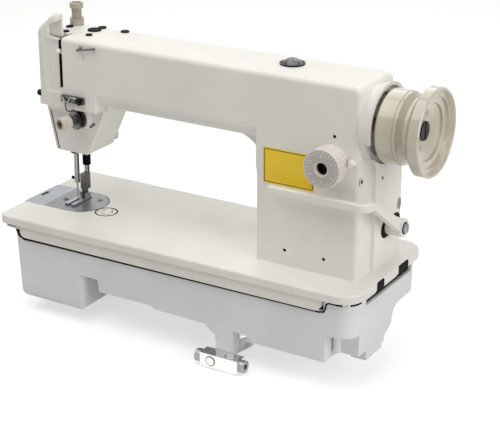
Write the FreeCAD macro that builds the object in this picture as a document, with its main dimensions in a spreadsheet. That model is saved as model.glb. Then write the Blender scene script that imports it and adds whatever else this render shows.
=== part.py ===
"""Head of an industrial single-needle lockstitch sewing machine, with its oil pan and knee lifter.

Millimetres. The origin is in the plane where the pan's lip rests on the table, under the middle of the bed.
+X runs along the bed towards the handwheel, +Y away from the operator and +Z up.
"""
import FreeCAD, Part
import math
import os
from types import SimpleNamespace

import Sketcher
from FreeCAD import Placement, Rotation, Vector

SIZES = {
    # Bed
    "bed_length": 476,
    "bed_width": 178,
    "bed_top": 15,
    "bed_rim": 9.5,
    "bed_corner": 26,
    "bed_left_corner": 12,
    "skirt_left": -208,
    "skirt_right": 196,
    "skirt_wall": 8,
    "skirt_inset": 3,
    "skirt_bottom": -9,
    "plate_depth": 2.5,
    "hinge_spacing": 265,
    "hinge_hole": 4.75,
    # Needle line and shafts
    "needle_x": -181,
    "axis_y": -6,
    "presser_y": 14,
    "shaft_z": 183,
    "hook_z": -16,
    "upright_x": 130,
    "shaft_radius": 7.5,
    "running_gap": 0.05,
    "seat_gap": 0.3,
    "bush_wall": 4,
    # Arm, head and column
    "arm_top": 230,
    "arm_under": 151.5,
    "under_round": 20,
    "edge_round": 4,
    "arm_front": -46,
    "arm_back_left": 22,
    "arm_back_right": 32,
    "head_left": -199,
    "head_bottom": 88,
    "head_front": -30,
    "head_bend": 147,
    "chin_left": -186,
    "chin_right": -146,
    "chin_root": -116,
    "web_left": -136,
    "column_left": 93,
    "column_right": 218,
    "column_back": 56,
    "column_step": 222,
    "column_shoulder": 205,
    "casting_wall": 7,
    "throat_radius": 40,
    "bell_length": 13,
    "bell_radius": 46,
    "bell_wall": 4,
    "recess_depth": 2.5,
    # Face plate and take-up guard
    "face_thickness": 6,
    "guard_left": -202,
    "guard_right": -168.5,
    "guard_back": -16,
    "guard_bottom": 156,
    "guard_top": 256,
    "guard_wall": 3,
    "guard_round": 9,
    "guard_corner": 14,
    "hood_back": -36,
    "hood_window": -184,
    "lever_slot": 4,
    # Needle and slide plates
    "plate_front": -38,
    "plate_back": 28,
    "plate_centre": -176,
    "slide_edge": -209,
    # Oil pan
    "pan_left": -220.5,
    "pan_right": 233,
    "pan_front": -81,
    "pan_wall": 3,
    "tub_right": -121,
    "tub_bottom": -89.5,
    "notch_right": -100,
    "notch_bottom": -42,
    "middle_bottom": -57,
    "middle_step": -23,
    "middle_right": 107,
    "right_bottom": -70,
    "foot_bottom": -77,
    "niche_left": 200,
    "niche_back": -62,
    "niche_top": -38,
    "niche_floor": -64,
    "pan_left_round": 6,
    "lip_left": -234,
    "lip_thickness": 4,
    # Handwheel
    "wheel_left": 233,
    "drum_radius": 40,
    "groove_left": 258,
    "groove_radius": 34,
    "flange_left": 274,
    "flange_radius": 48.2,
    "wheel_right": 286.5,
    "hub_face": 271.5,
    # Stitch dial and reverse lever
    "dial_x": 185,
    "dial_z": 144,
    "dial_radius": 21.4,
    "dial_depth": 22,
    "dial_grooves": 30,
    "dial_hole": 7,
    "lever_y": 21,
    "lever_z": 59,
    "lever_hub": 10.5,
    "lever_thick": 7,
    "lever_front": -66,
    "lever_height": 107.5,
    "lever_tip": 119,
    "lever_right": 240,
    # Thread tension
    "tension_x": -148,
    "tension_y": -26,
    "tension_z": 133.5,
    "tension_turn": 13,
    "boss_length": 9,
    "disc_radius": 11.2,
    "stud_radius": 3,
    "barrel_length": 4,
    "spring_wire": 1.1,
    "spring_radius": 5,
    "spring_turns": 4,
    "spring_pitch": 1.7,
    "nut_radius": 7.5,
    "nut_depth": 9,
    # Needle bar and presser
    "needle_bar": 3.2,
    "bar_bottom": 40,
    "needle_radius": 0.6,
    "needle_tip": 12,
    "presser_bar": 3.2,
    "sleeve_radius": 5,
    "sleeve_bottom": 57,
    "regulator": 5.5,
    "regulator_x": -186,
    "regulator_y": 13,
    "regulator_stem": 3.9,
    "takeup_y": -18,
    "takeup_z": 200,
    "takeup_pin": 3,
    "lifter_x": -160,
    "lifter_z": 130,
    "sight_x": 112,
    "sight_y": -1,
    "sight_dome": 13.8,
    # Knee lifter
    "knee_x": 65,
    "knee_z": -97,
    "knee_shaft": 5,
    "block_left": 51,
    "block_right": 100,
    "block_height": 16,
    "block_front": -97.5,
    # Bevel gears
    "upper_teeth": 20,
    "upper_radius": 18,
    "lower_teeth": 24,
    "lower_radius": 20,
    "hook_teeth": 12,
    "gear_face": 8,
    "upright_radius": 6,
    "crank_throw": 15.35,
    "crank_drop": 2.35,
    "crank_disc": 19.5,
    "link_length": 40,
    "stud_z": 143.6,
    "bar_top": 209,
    "hook_left": -179,
    "feed_pitch": 5.5,
    "push_x": 97,
    "push_y": -62.5,
    "push_rod": 4,
    "knee_rod": 6,
    "pan_round": 20,
    "cap_x": -131,
    "cap_y": -17,
}

doc = FreeCAD.newDocument("lockstitch_head")
sheet = doc.addObject("Spreadsheet::Sheet", "Sizes")
for row, (word, number) in enumerate(SIZES.items(), start=1):
    sheet.set(f"A{row}", word)
    sheet.set(f"B{row}", str(number))
    sheet.setAlias(f"B{row}", word)
doc.recompute()


class Size:
    """A number together with the sheet formula that gives it."""

    def __init__(self, number, formula):
        self.number = number
        self.formula = formula

    def joined(self, sign, other, number):
        return Size(number, f"({self.formula} {sign} {other.formula})")

    def __add__(self, other):
        other = as_size(other)
        return self.joined("+", other, self.number + other.number)

    def __sub__(self, other):
        other = as_size(other)
        return self.joined("-", other, self.number - other.number)

    def __mul__(self, other):
        other = as_size(other)
        return self.joined("*", other, self.number * other.number)

    def __truediv__(self, other):
        other = as_size(other)
        return self.joined("/", other, self.number / other.number)

    def __neg__(self):
        return as_size(0) - self

    __radd__ = __add__
    __rmul__ = __mul__


def as_size(amount):
    if isinstance(amount, Size):
        return amount
    return Size(float(amount), f"({float(amount)})")


def plain(amount):
    return as_size(amount).number


size = SimpleNamespace(**{word: Size(float(number), f"Sizes.{word}") for word, number in SIZES.items()})
kept_parts = {}


def bind(thing, path, amount):
    thing.setExpression(path, as_size(amount).formula)


def keep(thing, label):
    thing.Label = label
    kept_parts[label] = thing
    return thing


def put(thing, x=0, y=0, z=0, rotation=None):
    """Place an object at a point given in sizes, turned by a rotation."""
    if rotation is not None:
        thing.Placement = Placement(Vector(), rotation)
    for path, amount in zip(("x", "y", "z"), (x, y, z)):
        bind(thing, f"Placement.Base.{path}", amount)
    return thing


# Sketches and features of a body

def new_body(name):
    return doc.addObject("PartDesign::Body", f"{name}_body")


def new_sketch(body, plane, level=0):
    """A sketch on one of the body's own planes, moved to a level along the plane's world axis."""
    sketch = body.newObject("Sketcher::SketchObject", f"{body.Name}_sketch")
    base = [item for item in body.Origin.OriginFeatures if item.Role == f"{plane}_Plane"]
    sketch.AttachmentSupport = [(base[0], "")]
    sketch.MapMode = "FlatFace"
    level = as_size(level)
    bind(sketch, "AttachmentOffset.Base.z", -level if plane == "XZ" else level)
    return sketch


def place_point(sketch, line, end, across, up):
    for kind, amount in (("DistanceX", as_size(across)), ("DistanceY", as_size(up))):
        place = sketch.addConstraint(Sketcher.Constraint(kind, -1, 1, line, end, amount.number))
        sketch.setExpression(f"Constraints[{place}]", amount.formula)


def draw_outline(sketch, corners):
    """A closed outline of straight lines whose corners are bound to the sheet."""
    first = sketch.GeometryCount
    count = len(corners)
    points = [Vector(plain(across), plain(up), 0) for across, up in corners]
    lines = [Part.LineSegment(points[i], points[(i + 1) % count]) for i in range(count)]
    sketch.addGeometry(lines, False)
    joins = [Sketcher.Constraint("Coincident", first + i, 2, first + (i + 1) % count, 1) for i in range(count)]
    sketch.addConstraint(joins)
    for i, (across, up) in enumerate(corners):
        place_point(sketch, first + i, 1, across, up)
    return sketch


def draw_box(sketch, left, right, low, high):
    return draw_outline(sketch, [(left, low), (right, low), (right, high), (left, high)])


def draw_hollow_corner(sketch, left, right, low, top, radius):
    """A box whose upper right corner is hollowed by an arc from its right side to its top side."""
    first = sketch.GeometryCount
    edge = as_size(right) - radius
    corners = [(left, low), (right, low), (right, as_size(top) - radius), (edge, top), (left, top)]
    points = [Vector(plain(across), plain(up), 0) for across, up in corners]
    lines = [Part.LineSegment(points[start], points[end]) for start, end in ((0, 1), (1, 2), (3, 4), (4, 0))]
    sketch.addGeometry(lines, False)
    circle = Part.Circle(Vector(plain(right), plain(top), 0), Vector(0, 0, 1), plain(radius))
    arc = sketch.addGeometry(Part.ArcOfCircle(circle, math.pi, math.pi * 1.5), False)
    for line, end, other, other_end in ((0, 2, 1, 1), (2, 2, 3, 1), (3, 2, 0, 1)):
        sketch.addConstraint(Sketcher.Constraint("Coincident", first + line, end, first + other, other_end))
    sketch.addConstraint(Sketcher.Constraint("Coincident", first + 1, 2, arc, 2))
    sketch.addConstraint(Sketcher.Constraint("Coincident", first + 2, 1, arc, 1))
    for line, end, (across, up) in zip((0, 1, 1, 2, 3), (1, 1, 2, 1, 1), corners):
        place_point(sketch, first + line, end, across, up)
    place = sketch.addConstraint(Sketcher.Constraint("Radius", arc, plain(radius)))
    sketch.setExpression(f"Constraints[{place}]", as_size(radius).formula)
    return sketch


def draw_circle(sketch, across, up, radius):
    radius = as_size(radius)
    centre = Vector(plain(across), plain(up), 0)
    circle = sketch.addGeometry(Part.Circle(centre, Vector(0, 0, 1), radius.number), False)
    place_point(sketch, circle, 3, across, up)
    place = sketch.addConstraint(Sketcher.Constraint("Radius", circle, radius.number))
    sketch.setExpression(f"Constraints[{place}]", radius.formula)
    return sketch


def extrude(kind, body, sketch, length, forward):
    """Pad or cut a sketch along its world axis, forward being the positive way."""
    feature = body.newObject(f"PartDesign::{kind}", f"{body.Name}_{kind.lower()}")
    feature.Profile = sketch
    bind(feature, "Length", length)
    normal_is_positive = sketch.AttachmentSupport[0][0].Role != "XZ_Plane"
    with_normal = forward == normal_is_positive
    feature.Reversed = with_normal if kind == "Pocket" else not with_normal
    sketch.Visibility = False
    return feature


def pad(body, sketch, length, forward=True):
    return extrude("Pad", body, sketch, length, forward)


def pocket(body, sketch, length, forward=False):
    """Cut a sketch into the body and make sure that something was removed."""
    doc.recompute()
    before = body.Shape.Volume
    feature = extrude("Pocket", body, sketch, length, forward)
    doc.recompute()
    if body.Shape.Volume > before - 1e-6:
        raise RuntimeError(f"{feature.Name} removes nothing")
    return feature


def revolve(body, sketch, kind="Revolution"):
    """Turn a sketch once round its own horizontal axis."""
    feature = body.newObject(f"PartDesign::{kind}", f"{body.Name}_{kind.lower()}")
    feature.Profile = sketch
    feature.ReferenceAxis = (sketch, ["H_Axis"])
    feature.Angle = 360
    sketch.Visibility = False
    return feature


def turned(name, profile, x=0, y=0, z=0, rotation=None):
    """A body turned round its own X axis from a profile of (along, radius) corners."""
    body = new_body(name)
    revolve(body, draw_outline(new_sketch(body, "XZ"), profile))
    return put(body, x, y, z, rotation)


def round_edges(body, radius, test):
    """Round the edges of the body whose middle point and direction pass a test."""
    doc.recompute()
    names = []
    for place, edge in enumerate(body.Shape.Edges, start=1):
        middle = edge.valueAt((edge.FirstParameter + edge.LastParameter) / 2)
        direction = edge.tangentAt((edge.FirstParameter + edge.LastParameter) / 2)
        if test(middle, direction):
            names.append(f"Edge{place}")
    if not names:
        raise RuntimeError(f"{body.Name} has no edge to round")
    feature = body.newObject("PartDesign::Fillet", f"{body.Name}_fillet")
    feature.Base = (body.Tip if body.Tip != feature else feature.BaseFeature, names)
    bind(feature, "Radius", radius)
    doc.recompute()
    return feature


def along(direction, axis):
    return abs(getattr(direction, axis)) > 0.99


# Plain solids and their sums

ALONG_X = Rotation(Vector(0, 0, 1), Vector(1, 0, 0))
TO_LEFT = Rotation(Vector(0, 0, 1), Vector(-1, 0, 0))
ALONG_Y = Rotation(Vector(0, 0, 1), Vector(0, 1, 0))
TO_OPERATOR = Rotation(Vector(0, 0, 1), Vector(0, -1, 0))


def rod(name, radius, length, x=0, y=0, z=0, rotation=None):
    shape = doc.addObject("Part::Cylinder", name)
    bind(shape, "Radius", radius)
    bind(shape, "Height", length)
    return put(shape, x, y, z, rotation)


def block(name, x_low, x_high, y_low, y_high, z_low, z_high):
    shape = doc.addObject("Part::Box", name)
    bind(shape, "Length", as_size(x_high) - x_low)
    bind(shape, "Width", as_size(y_high) - y_low)
    bind(shape, "Height", as_size(z_high) - z_low)
    return put(shape, x_low, y_low, z_low)


def fused(name, pieces):
    whole = doc.addObject("Part::MultiFuse", name)
    whole.Shapes = pieces
    return whole


def cut(name, base, tools):
    if len(tools) > 1:
        tool = fused(f"{name}_tools", tools)
    else:
        tool = tools[0]
    result = doc.addObject("Part::Cut", name)
    result.Base = base
    result.Tool = tool
    return result


def group(name, pieces):
    result = doc.addObject("Part::Compound", name)
    result.Links = pieces
    return result


def tube(name, outer, inner, length, x=0, y=0, z=0, rotation=None):
    wall = rod(f"{name}_wall", outer, length, x, y, z, rotation)
    hole = rod(f"{name}_hole", inner, length, x, y, z, rotation)
    return cut(name, wall, [hole])


def slotted_screw(name, radius, height, x, y, z, rotation=None):
    """A cheese-head screw whose head stands along its own Z axis, with a driver slot."""
    body = new_body(name)
    pad(body, draw_circle(new_sketch(body, "XY"), 0, 0, radius), height)
    slot = new_sketch(body, "XY", as_size(height) * 0.6)
    across = as_size(radius) * 1.2
    half = as_size(radius) * 0.14
    draw_box(slot, -across, across, -half, half)
    pocket(body, slot, height, forward=True)
    return put(body, x, y, z, rotation)


# Bed

def make_bed():
    body = new_body("bed")
    half_length = size.bed_length / 2
    half_width = size.bed_width / 2
    rim_low = size.bed_top - size.bed_rim
    pad(body, draw_box(new_sketch(body, "XY", rim_low), -half_length, half_length, -half_width, half_width),
        size.bed_rim)
    round_edges(body, size.bed_corner, lambda middle, way: along(way, "z") and middle.x > 0)
    round_edges(body, size.bed_left_corner, lambda middle, way: along(way, "z")
                and middle.x < plain(-half_length) + 0.1)
    round_edges(body, 2, lambda middle, way: middle.z > plain(size.bed_top) - 0.01)
    skirt_y = half_width - size.skirt_inset
    skirt = new_sketch(body, "XY", size.skirt_bottom)
    draw_box(skirt, size.skirt_left, size.skirt_right, -skirt_y, skirt_y)
    draw_box(skirt, size.skirt_left + size.skirt_wall, size.skirt_right - size.skirt_wall,
             -skirt_y + size.skirt_wall, skirt_y - size.skirt_wall)
    pad(body, skirt, rim_low - size.skirt_bottom)
    round_edges(body, size.skirt_wall - 1, lambda middle, way: along(way, "y")
                and middle.z < plain(size.skirt_bottom) + 0.01
                and (middle.x < plain(size.skirt_left) + 0.01 or middle.x > plain(size.skirt_right) - 0.01))
    end_feet = new_sketch(body, "XY", size.skirt_bottom + 4)
    for near, far in ((-48, -20), (-1, 31)):
        draw_box(end_feet, size.skirt_right - 1, half_length - 9, near, far)
    pad(body, end_feet, rim_low - size.skirt_bottom - 4)
    hangers = new_sketch(body, "XY", size.hook_z - 15)
    for left in (-147, 60):
        draw_box(hangers, left, left + 22, size.axis_y - 15, size.axis_y + 15)
    pad(body, hangers, rim_low - size.hook_z + 15)
    shaft_hole = new_sketch(body, "YZ", -150)
    draw_circle(shaft_hole, size.axis_y, size.hook_z, size.shaft_radius + size.running_gap + size.bush_wall)
    pocket(body, shaft_hole, 260, forward=True)
    hinge_holes = new_sketch(body, "XZ", half_width)
    for side in (-0.5, 0.5):
        draw_circle(hinge_holes, size.hinge_spacing * side, size.skirt_bottom + 7.2, size.hinge_hole)
    pocket(body, hinge_holes, size.skirt_wall + 6)
    openings = new_sketch(body, "XY", size.bed_top + 1)
    draw_box(openings, size.slide_edge - 2, size.plate_centre + 21, -32, 20)
    draw_box(openings, size.upright_x - 25, size.upright_x + 25, size.axis_y - 26, size.axis_y + 26)
    pocket(body, openings, size.bed_rim + 2)
    slide_seat = new_sketch(body, "XY", size.bed_top + 1)
    draw_box(slide_seat, -half_length - 5, size.plate_centre, size.plate_front, size.plate_back)
    pocket(body, slide_seat, size.plate_depth + 1)
    plate_seat = new_sketch(body, "XY", size.bed_top + 1)
    draw_circle(plate_seat, size.plate_centre, (size.plate_front + size.plate_back) / 2,
                (size.plate_back - size.plate_front) / 2)
    pocket(body, plate_seat, size.plate_depth + 1)
    cap_seat = new_sketch(body, "XY", size.bed_top + 1)
    draw_circle(cap_seat, size.cap_x, size.cap_y, 13.5)
    pocket(body, cap_seat, 4)
    return keep(body, "bed_casting")


# Arm, head and column

def make_arm():
    body = new_body("arm")
    depth = size.column_back - size.arm_front
    front = new_sketch(body, "XZ", size.arm_front)
    draw_outline(front, [
        (size.head_left, size.arm_top), (size.head_left, size.head_bend),
        (size.chin_left, size.head_bottom), (size.chin_right, size.head_bottom),
        (size.chin_root, size.arm_under), (size.column_left, size.arm_under),
        (size.column_left, size.bed_top), (size.column_right, size.bed_top),
        (size.column_right, size.arm_top)])
    pad(body, front, depth)
    round_edges(body, size.throat_radius, lambda middle, way: along(way, "y")
                and abs(middle.x - plain(size.column_left)) < 0.1 and middle.z > 100)
    round_edges(body, 9, lambda middle, way: along(way, "y") and middle.z > plain(size.arm_top) - 0.1)
    plan = new_sketch(body, "XY", size.arm_top + 1)
    reach = size.bed_length
    draw_box(plan, -reach, reach, -reach, reach)
    draw_outline(plan, [
        (size.head_left, size.arm_front), (size.column_right, size.arm_front),
        (size.column_right, size.arm_back_right), (-110, size.arm_back_left),
        (size.head_left + 8, size.arm_back_left),
        (size.head_left, size.arm_back_left - 8)])
    pocket(body, plan, size.arm_top + 2)
    round_edges(body, size.edge_round, lambda middle, way: along(way, "z")
                and middle.y < plain(size.arm_front) + 0.1 and abs(middle.x - plain(size.column_left)) < 0.1)
    under_edge = new_sketch(body, "YZ", size.chin_root - 4)
    draw_hollow_corner(under_edge, size.arm_front - 1, size.arm_front + size.under_round,
                       size.arm_under - size.throat_radius, size.arm_under + size.under_round, size.under_round)
    pocket(body, under_edge, size.column_left - size.chin_root + 4, forward=True)
    guard_room = new_sketch(body, "XY", size.guard_bottom)
    draw_outline(guard_room, [
        (size.head_left - 10, size.arm_front - 10), (size.guard_right, size.arm_front - 10),
        (size.guard_right, size.head_front + 2), (size.head_left - 10, size.guard_back + 2)])
    pocket(body, guard_room, size.arm_top - size.guard_bottom + 10, forward=True)
    under_head = new_sketch(body, "XY", size.head_bend)
    draw_outline(under_head, [
        (size.head_left - 10, size.arm_front - 10), (size.chin_root + 10, size.arm_front - 10),
        (size.chin_root + 10, size.arm_front), (size.chin_root - 6, size.head_front),
        (size.head_left - 10, size.head_front)])
    pocket(body, under_head, size.head_bend - size.head_bottom + 2)
    round_edges(body, 5, lambda middle, way: along(way, "x")
                and middle.z > plain(size.arm_top) - 0.1)
    shoulder = new_sketch(body, "YZ", size.column_left)
    draw_outline(shoulder, [
        (size.axis_y - 8, size.bed_top), (size.column_back, size.bed_top),
        (size.column_back, size.column_shoulder - 14), (size.column_back - 5, size.column_shoulder - 4),
        (size.column_back - 14, size.column_shoulder), (size.axis_y - 8, size.column_shoulder)])
    pad(body, shoulder, size.column_step - size.column_left)
    round_edges(body, 8, lambda middle, way: along(way, "z") and middle.y > plain(size.column_back) - 0.1)
    bell = new_sketch(body, "XZ", size.axis_y)
    bind(bell, "AttachmentOffset.Base.y", size.shaft_z)
    bell_end = size.column_right + size.bell_length
    bell_inner = size.bell_radius - size.bell_wall
    draw_outline(bell, [
        (size.column_right - 2, bell_inner - 8), (bell_end - 7, bell_inner - 8),
        (bell_end - 7, bell_inner - 1),
        (bell_end, bell_inner), (bell_end, size.bell_radius), (bell_end - 9, bell_inner + 1.5),
        (size.column_right - 2, bell_inner)])
    revolve(body, bell)
    hollow_arm(body)
    return keep(body, "arm_casting")


def hollow_arm(body):
    """The head, arm and column are hollow: each hollow opens to a cover or to the bed."""
    wall = size.casting_wall
    ceiling = size.arm_top - wall - 1
    web = size.web_left
    head = new_sketch(body, "XZ", size.head_front + wall)
    draw_outline(head, [
        (size.head_left - 20, size.head_bottom + 10), (size.chin_right - 8, size.head_bottom + 10),
        (web, size.arm_under + 8), (web, ceiling), (size.head_left - 20, ceiling)])
    pocket(body, head, size.arm_back_left - size.head_front - wall - 4, forward=True)
    crank_room = new_sketch(body, "XZ", size.arm_front + wall + 1)
    draw_box(crank_room, web - 28, web, size.arm_under + 4, ceiling)
    pocket(body, crank_room, size.head_front - size.arm_front, forward=True)
    arm = new_sketch(body, "XZ", size.arm_front + wall)
    draw_box(arm, web + 12, size.column_left - 1, size.arm_under + 11, ceiling)
    pocket(body, arm, size.arm_back_left - size.arm_front - wall * 2, forward=True)
    window = new_sketch(body, "XZ", size.column_back)
    draw_box(window, -70, 70, size.arm_under + 16, size.arm_top - 16)
    pocket(body, window, size.column_back - size.arm_back_left + wall * 2)
    column = new_sketch(body, "XY", size.bed_top)
    column_sides = (size.column_left + wall + 4, size.column_right - wall - 3)
    draw_box(column, *column_sides, size.arm_front + wall, size.arm_back_left + 1)
    pocket(body, column, ceiling - size.bed_top, forward=True)
    rear_room = new_sketch(body, "XY", size.bed_top)
    draw_box(rear_room, *column_sides, size.arm_back_left, size.column_back - wall)
    pocket(body, rear_room, size.column_shoulder - size.bed_top - wall * 2, forward=True)
    shelf = new_sketch(body, "XY", 70)
    draw_box(shelf, size.column_left + wall, size.upright_x + 22, size.arm_front + 2, size.axis_y + 30)
    pad(body, shelf, 16)
    upright_hole = new_sketch(body, "XY", 69)
    draw_circle(upright_hole, size.upright_x, size.axis_y, size.shaft_radius + size.bush_wall)
    pocket(body, upright_hole, 18, forward=True)
    shaft_hole = new_sketch(body, "YZ", web - 2)
    draw_circle(shaft_hole, size.axis_y, size.shaft_z, size.shaft_radius + size.running_gap + size.bush_wall)
    pocket(body, shaft_hole, size.bed_length, forward=True)
    bar_holes = new_sketch(body, "XY", size.head_bottom - 1)
    draw_circle(bar_holes, size.needle_x, size.axis_y, size.needle_bar + 1.5)
    draw_circle(bar_holes, size.needle_x, size.presser_y, size.sleeve_radius)
    pocket(body, bar_holes, 12, forward=True)
    regulator_hole = new_sketch(body, "XY", ceiling - 1)
    draw_circle(regulator_hole, size.regulator_x, size.regulator_y, size.regulator + 0.1)
    pocket(body, regulator_hole, 12, forward=True)
    bar_roof = new_sketch(body, "XY", ceiling - 1)
    draw_circle(bar_roof, size.needle_x, size.axis_y, size.needle_bar + 1.5)
    pocket(body, bar_roof, 6, forward=True)
    lever_slot = new_sketch(body, "XZ", size.arm_front - 1)
    draw_box(lever_slot, size.guard_right - 1, size.guard_right + size.lever_slot, 171, size.arm_top + 5)
    pocket(body, lever_slot, size.head_front - size.arm_front + wall + 2, forward=True)
    lug = new_sketch(body, "YZ", size.guard_right - 10)
    draw_box(lug, size.takeup_y - 8, size.takeup_y + 6, size.takeup_z - 7, size.takeup_z + 7)
    pad(body, lug, 8)
    pivot_hole = new_sketch(body, "YZ", size.guard_right - 11)
    draw_circle(pivot_hole, size.takeup_y, size.takeup_z, size.takeup_pin)
    pocket(body, pivot_hole, 10, forward=True)
    guide_recess = new_sketch(body, "XZ", size.arm_front - 1)
    draw_outline(guide_recess, [
        (-142, 210), (-139, 206), (-135, 206), (-132, 210), (-132, 221), (-135, 225), (-139, 225),
        (-142, 221)])
    pocket(body, guide_recess, size.recess_depth + 1, forward=True)
    bell_notch = new_sketch(body, "YZ", size.column_right + size.bell_length + 1)
    draw_outline(bell_notch, [(-54, 172), (-43, 172), (-31, 152), (-36, 144)])
    pocket(body, bell_notch, 8)
    front_holes = new_sketch(body, "XZ", size.arm_front - 1)
    for x, z in ((129.7, 33), (178.1, 32.6), (188.3, 174)):
        draw_circle(front_holes, x, z, 1.9)
    pocket(body, front_holes, wall - 1, forward=True)
    side_holes = new_sketch(body, "YZ", size.column_step + 1)
    for y, z, radius in ((2.3, 119.2, 2), (46.5, 77, 2.6), (-40, 127.3, 2.5)):
        draw_circle(side_holes, y, z, radius)
    pocket(body, side_holes, wall - 1)
    dial_hole = new_sketch(body, "XZ", size.arm_front - 1)
    draw_circle(dial_hole, size.dial_x, size.dial_z, 5)
    pocket(body, dial_hole, wall + 2, forward=True)
    lifter_hole = new_sketch(body, "XZ", size.arm_back_left + 1)
    draw_circle(lifter_hole, size.lifter_x, size.lifter_z, 4)
    pocket(body, lifter_hole, wall + 2)
    lever_hole = new_sketch(body, "YZ", size.column_step + 1)
    draw_circle(lever_hole, size.lever_y, size.lever_z, 5)
    pocket(body, lever_hole, wall + 14)
    boss = new_sketch(body, "XZ", size.tension_y)
    boss.AttachmentOffset = Placement(Vector(), Rotation(Vector(0, 1, 0), -plain(size.tension_turn)))
    bind(boss, "AttachmentOffset.Base.x", size.tension_x)
    bind(boss, "AttachmentOffset.Base.y", size.tension_z)
    bind(boss, "AttachmentOffset.Base.z", -size.tension_y)
    draw_circle(boss, 0, 0, size.disc_radius + 1)
    pad(body, boss, size.boss_length, forward=False)


# Covers of the arm

def make_face_plate():
    body = new_body("face_plate")
    outer = size.head_left - size.face_thickness
    side = new_sketch(body, "XZ", size.head_front + 2)
    draw_outline(side, [
        (outer, size.arm_top - 6), (outer, size.head_bend - 1),
        (size.chin_left - size.face_thickness, size.head_bottom),
        (size.chin_left, size.head_bottom), (size.head_left, size.head_bend),
        (size.head_left, size.arm_top - 6)])
    pad(body, side, size.arm_back_left - size.head_front - 6)
    guard_room = new_sketch(body, "YZ", outer - 1)
    draw_box(guard_room, size.head_front - 10, size.guard_back + 1, size.guard_bottom, size.guard_top)
    pocket(body, guard_room, size.face_thickness + 2, forward=True)
    round_edges(body, 2.5, lambda middle, way: middle.x < plain(outer) + 0.1 and along(way, "z"))
    return keep(body, "face_plate")


def make_takeup_guard():
    """A hood over the take-up lever: its front panel is sunk, and its right side is open above the arm."""
    body = new_body("takeup_guard")
    hood_low = size.arm_top + 0.5
    shoulder = size.guard_top - 20
    brow = size.guard_left + 24
    front = new_sketch(body, "XZ", size.arm_front)
    draw_outline(front, [
        (size.guard_left, size.guard_bottom), (size.guard_right, size.guard_bottom),
        (size.guard_right, size.guard_top),
        (brow, size.guard_top), (size.guard_left, shoulder)])
    pad(body, front, size.guard_back - size.arm_front)
    round_edges(body, size.guard_corner, lambda middle, way: along(way, "y") and middle.x < plain(brow) + 0.1
                and middle.z > plain(shoulder) - 0.1)
    behind = new_sketch(body, "YZ", size.guard_left - 1)
    draw_box(behind, size.hood_back, size.guard_back + 1, hood_low, size.guard_top + 1)
    pocket(body, behind, size.guard_right - size.guard_left + 2, forward=True)
    round_edges(body, size.guard_round, lambda middle, way: middle.y < plain(size.arm_front) + 0.1
                and along(way, "z") and middle.x < plain(size.guard_left) + 0.1)
    wall = size.guard_wall
    low = size.guard_bottom - 1
    rooms = ((size.guard_left + wall, size.guard_back + 5, hood_low, 7),
             (size.hood_window - 2, size.hood_back - wall, size.guard_top - wall - 2, 3))
    for left, back, top, corner in rooms:
        room = new_sketch(body, "XY", low)
        draw_outline(room, [
            (left, back), (left, size.arm_front + wall + corner), (left + corner, size.arm_front + wall),
            (size.guard_right + 5, size.arm_front + wall), (size.guard_right + 5, back)])
        pocket(body, room, top - low, forward=True)
    panel = new_sketch(body, "XZ", size.arm_front - 1)
    draw_box(panel, size.guard_left + size.guard_round + 4, size.guard_right + 1, size.guard_bottom + 9,
             hood_low - 4)
    pocket(body, panel, 2.4, forward=True)
    window = new_sketch(body, "XZ", size.arm_front - 1)
    draw_outline(window, [
        (size.hood_window, hood_low), (size.guard_right + 1, hood_low - 2),
        (size.guard_right + 1, size.guard_top - 6), (size.hood_window, size.guard_top - 13)])
    pocket(body, window, wall + 2, forward=True)
    return keep(body, "takeup_guard")


def arm_back_at(x):
    """Y of the slanting back of the arm at an X place."""
    rise = size.arm_back_right - size.arm_back_left
    return size.arm_back_left + rise * (as_size(x) + 110) / (size.column_right + 110)


def make_rear_cover():
    body = new_body("arm_rear_cover")
    plan = new_sketch(body, "XY", size.arm_under + 10)
    left, right, thickness = -80, 80, 3
    draw_outline(plan, [
        (left, arm_back_at(left)), (right, arm_back_at(right)),
        (right, arm_back_at(right) + thickness), (left, arm_back_at(left) + thickness)])
    pad(body, plan, size.arm_top - size.arm_under - 20)
    round_edges(body, 8, lambda middle, way: along(way, "y") and abs(middle.x) > 79)
    keep(body, "arm_rear_cover")
    screws = []
    for x in (left + 8, right - 8):
        for z in (size.arm_under + 18, size.arm_top - 18):
            screws.append(slotted_screw("cover_screw", 4, 2.5, x, arm_back_at(x) + thickness + 0.2, z, ALONG_Y))
    return screws


def make_face_screws():
    outer = size.head_left - size.face_thickness
    places = ((size.head_front + 6.5, size.head_bend + 5, 4, 9), (6, size.arm_top - 14, 3.6, 3),
              (14, size.head_bend + 8, 3.6, 3))
    return [slotted_screw("face_screw", radius, height, outer, y, z, TO_LEFT)
            for y, z, radius, height in places]


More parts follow.
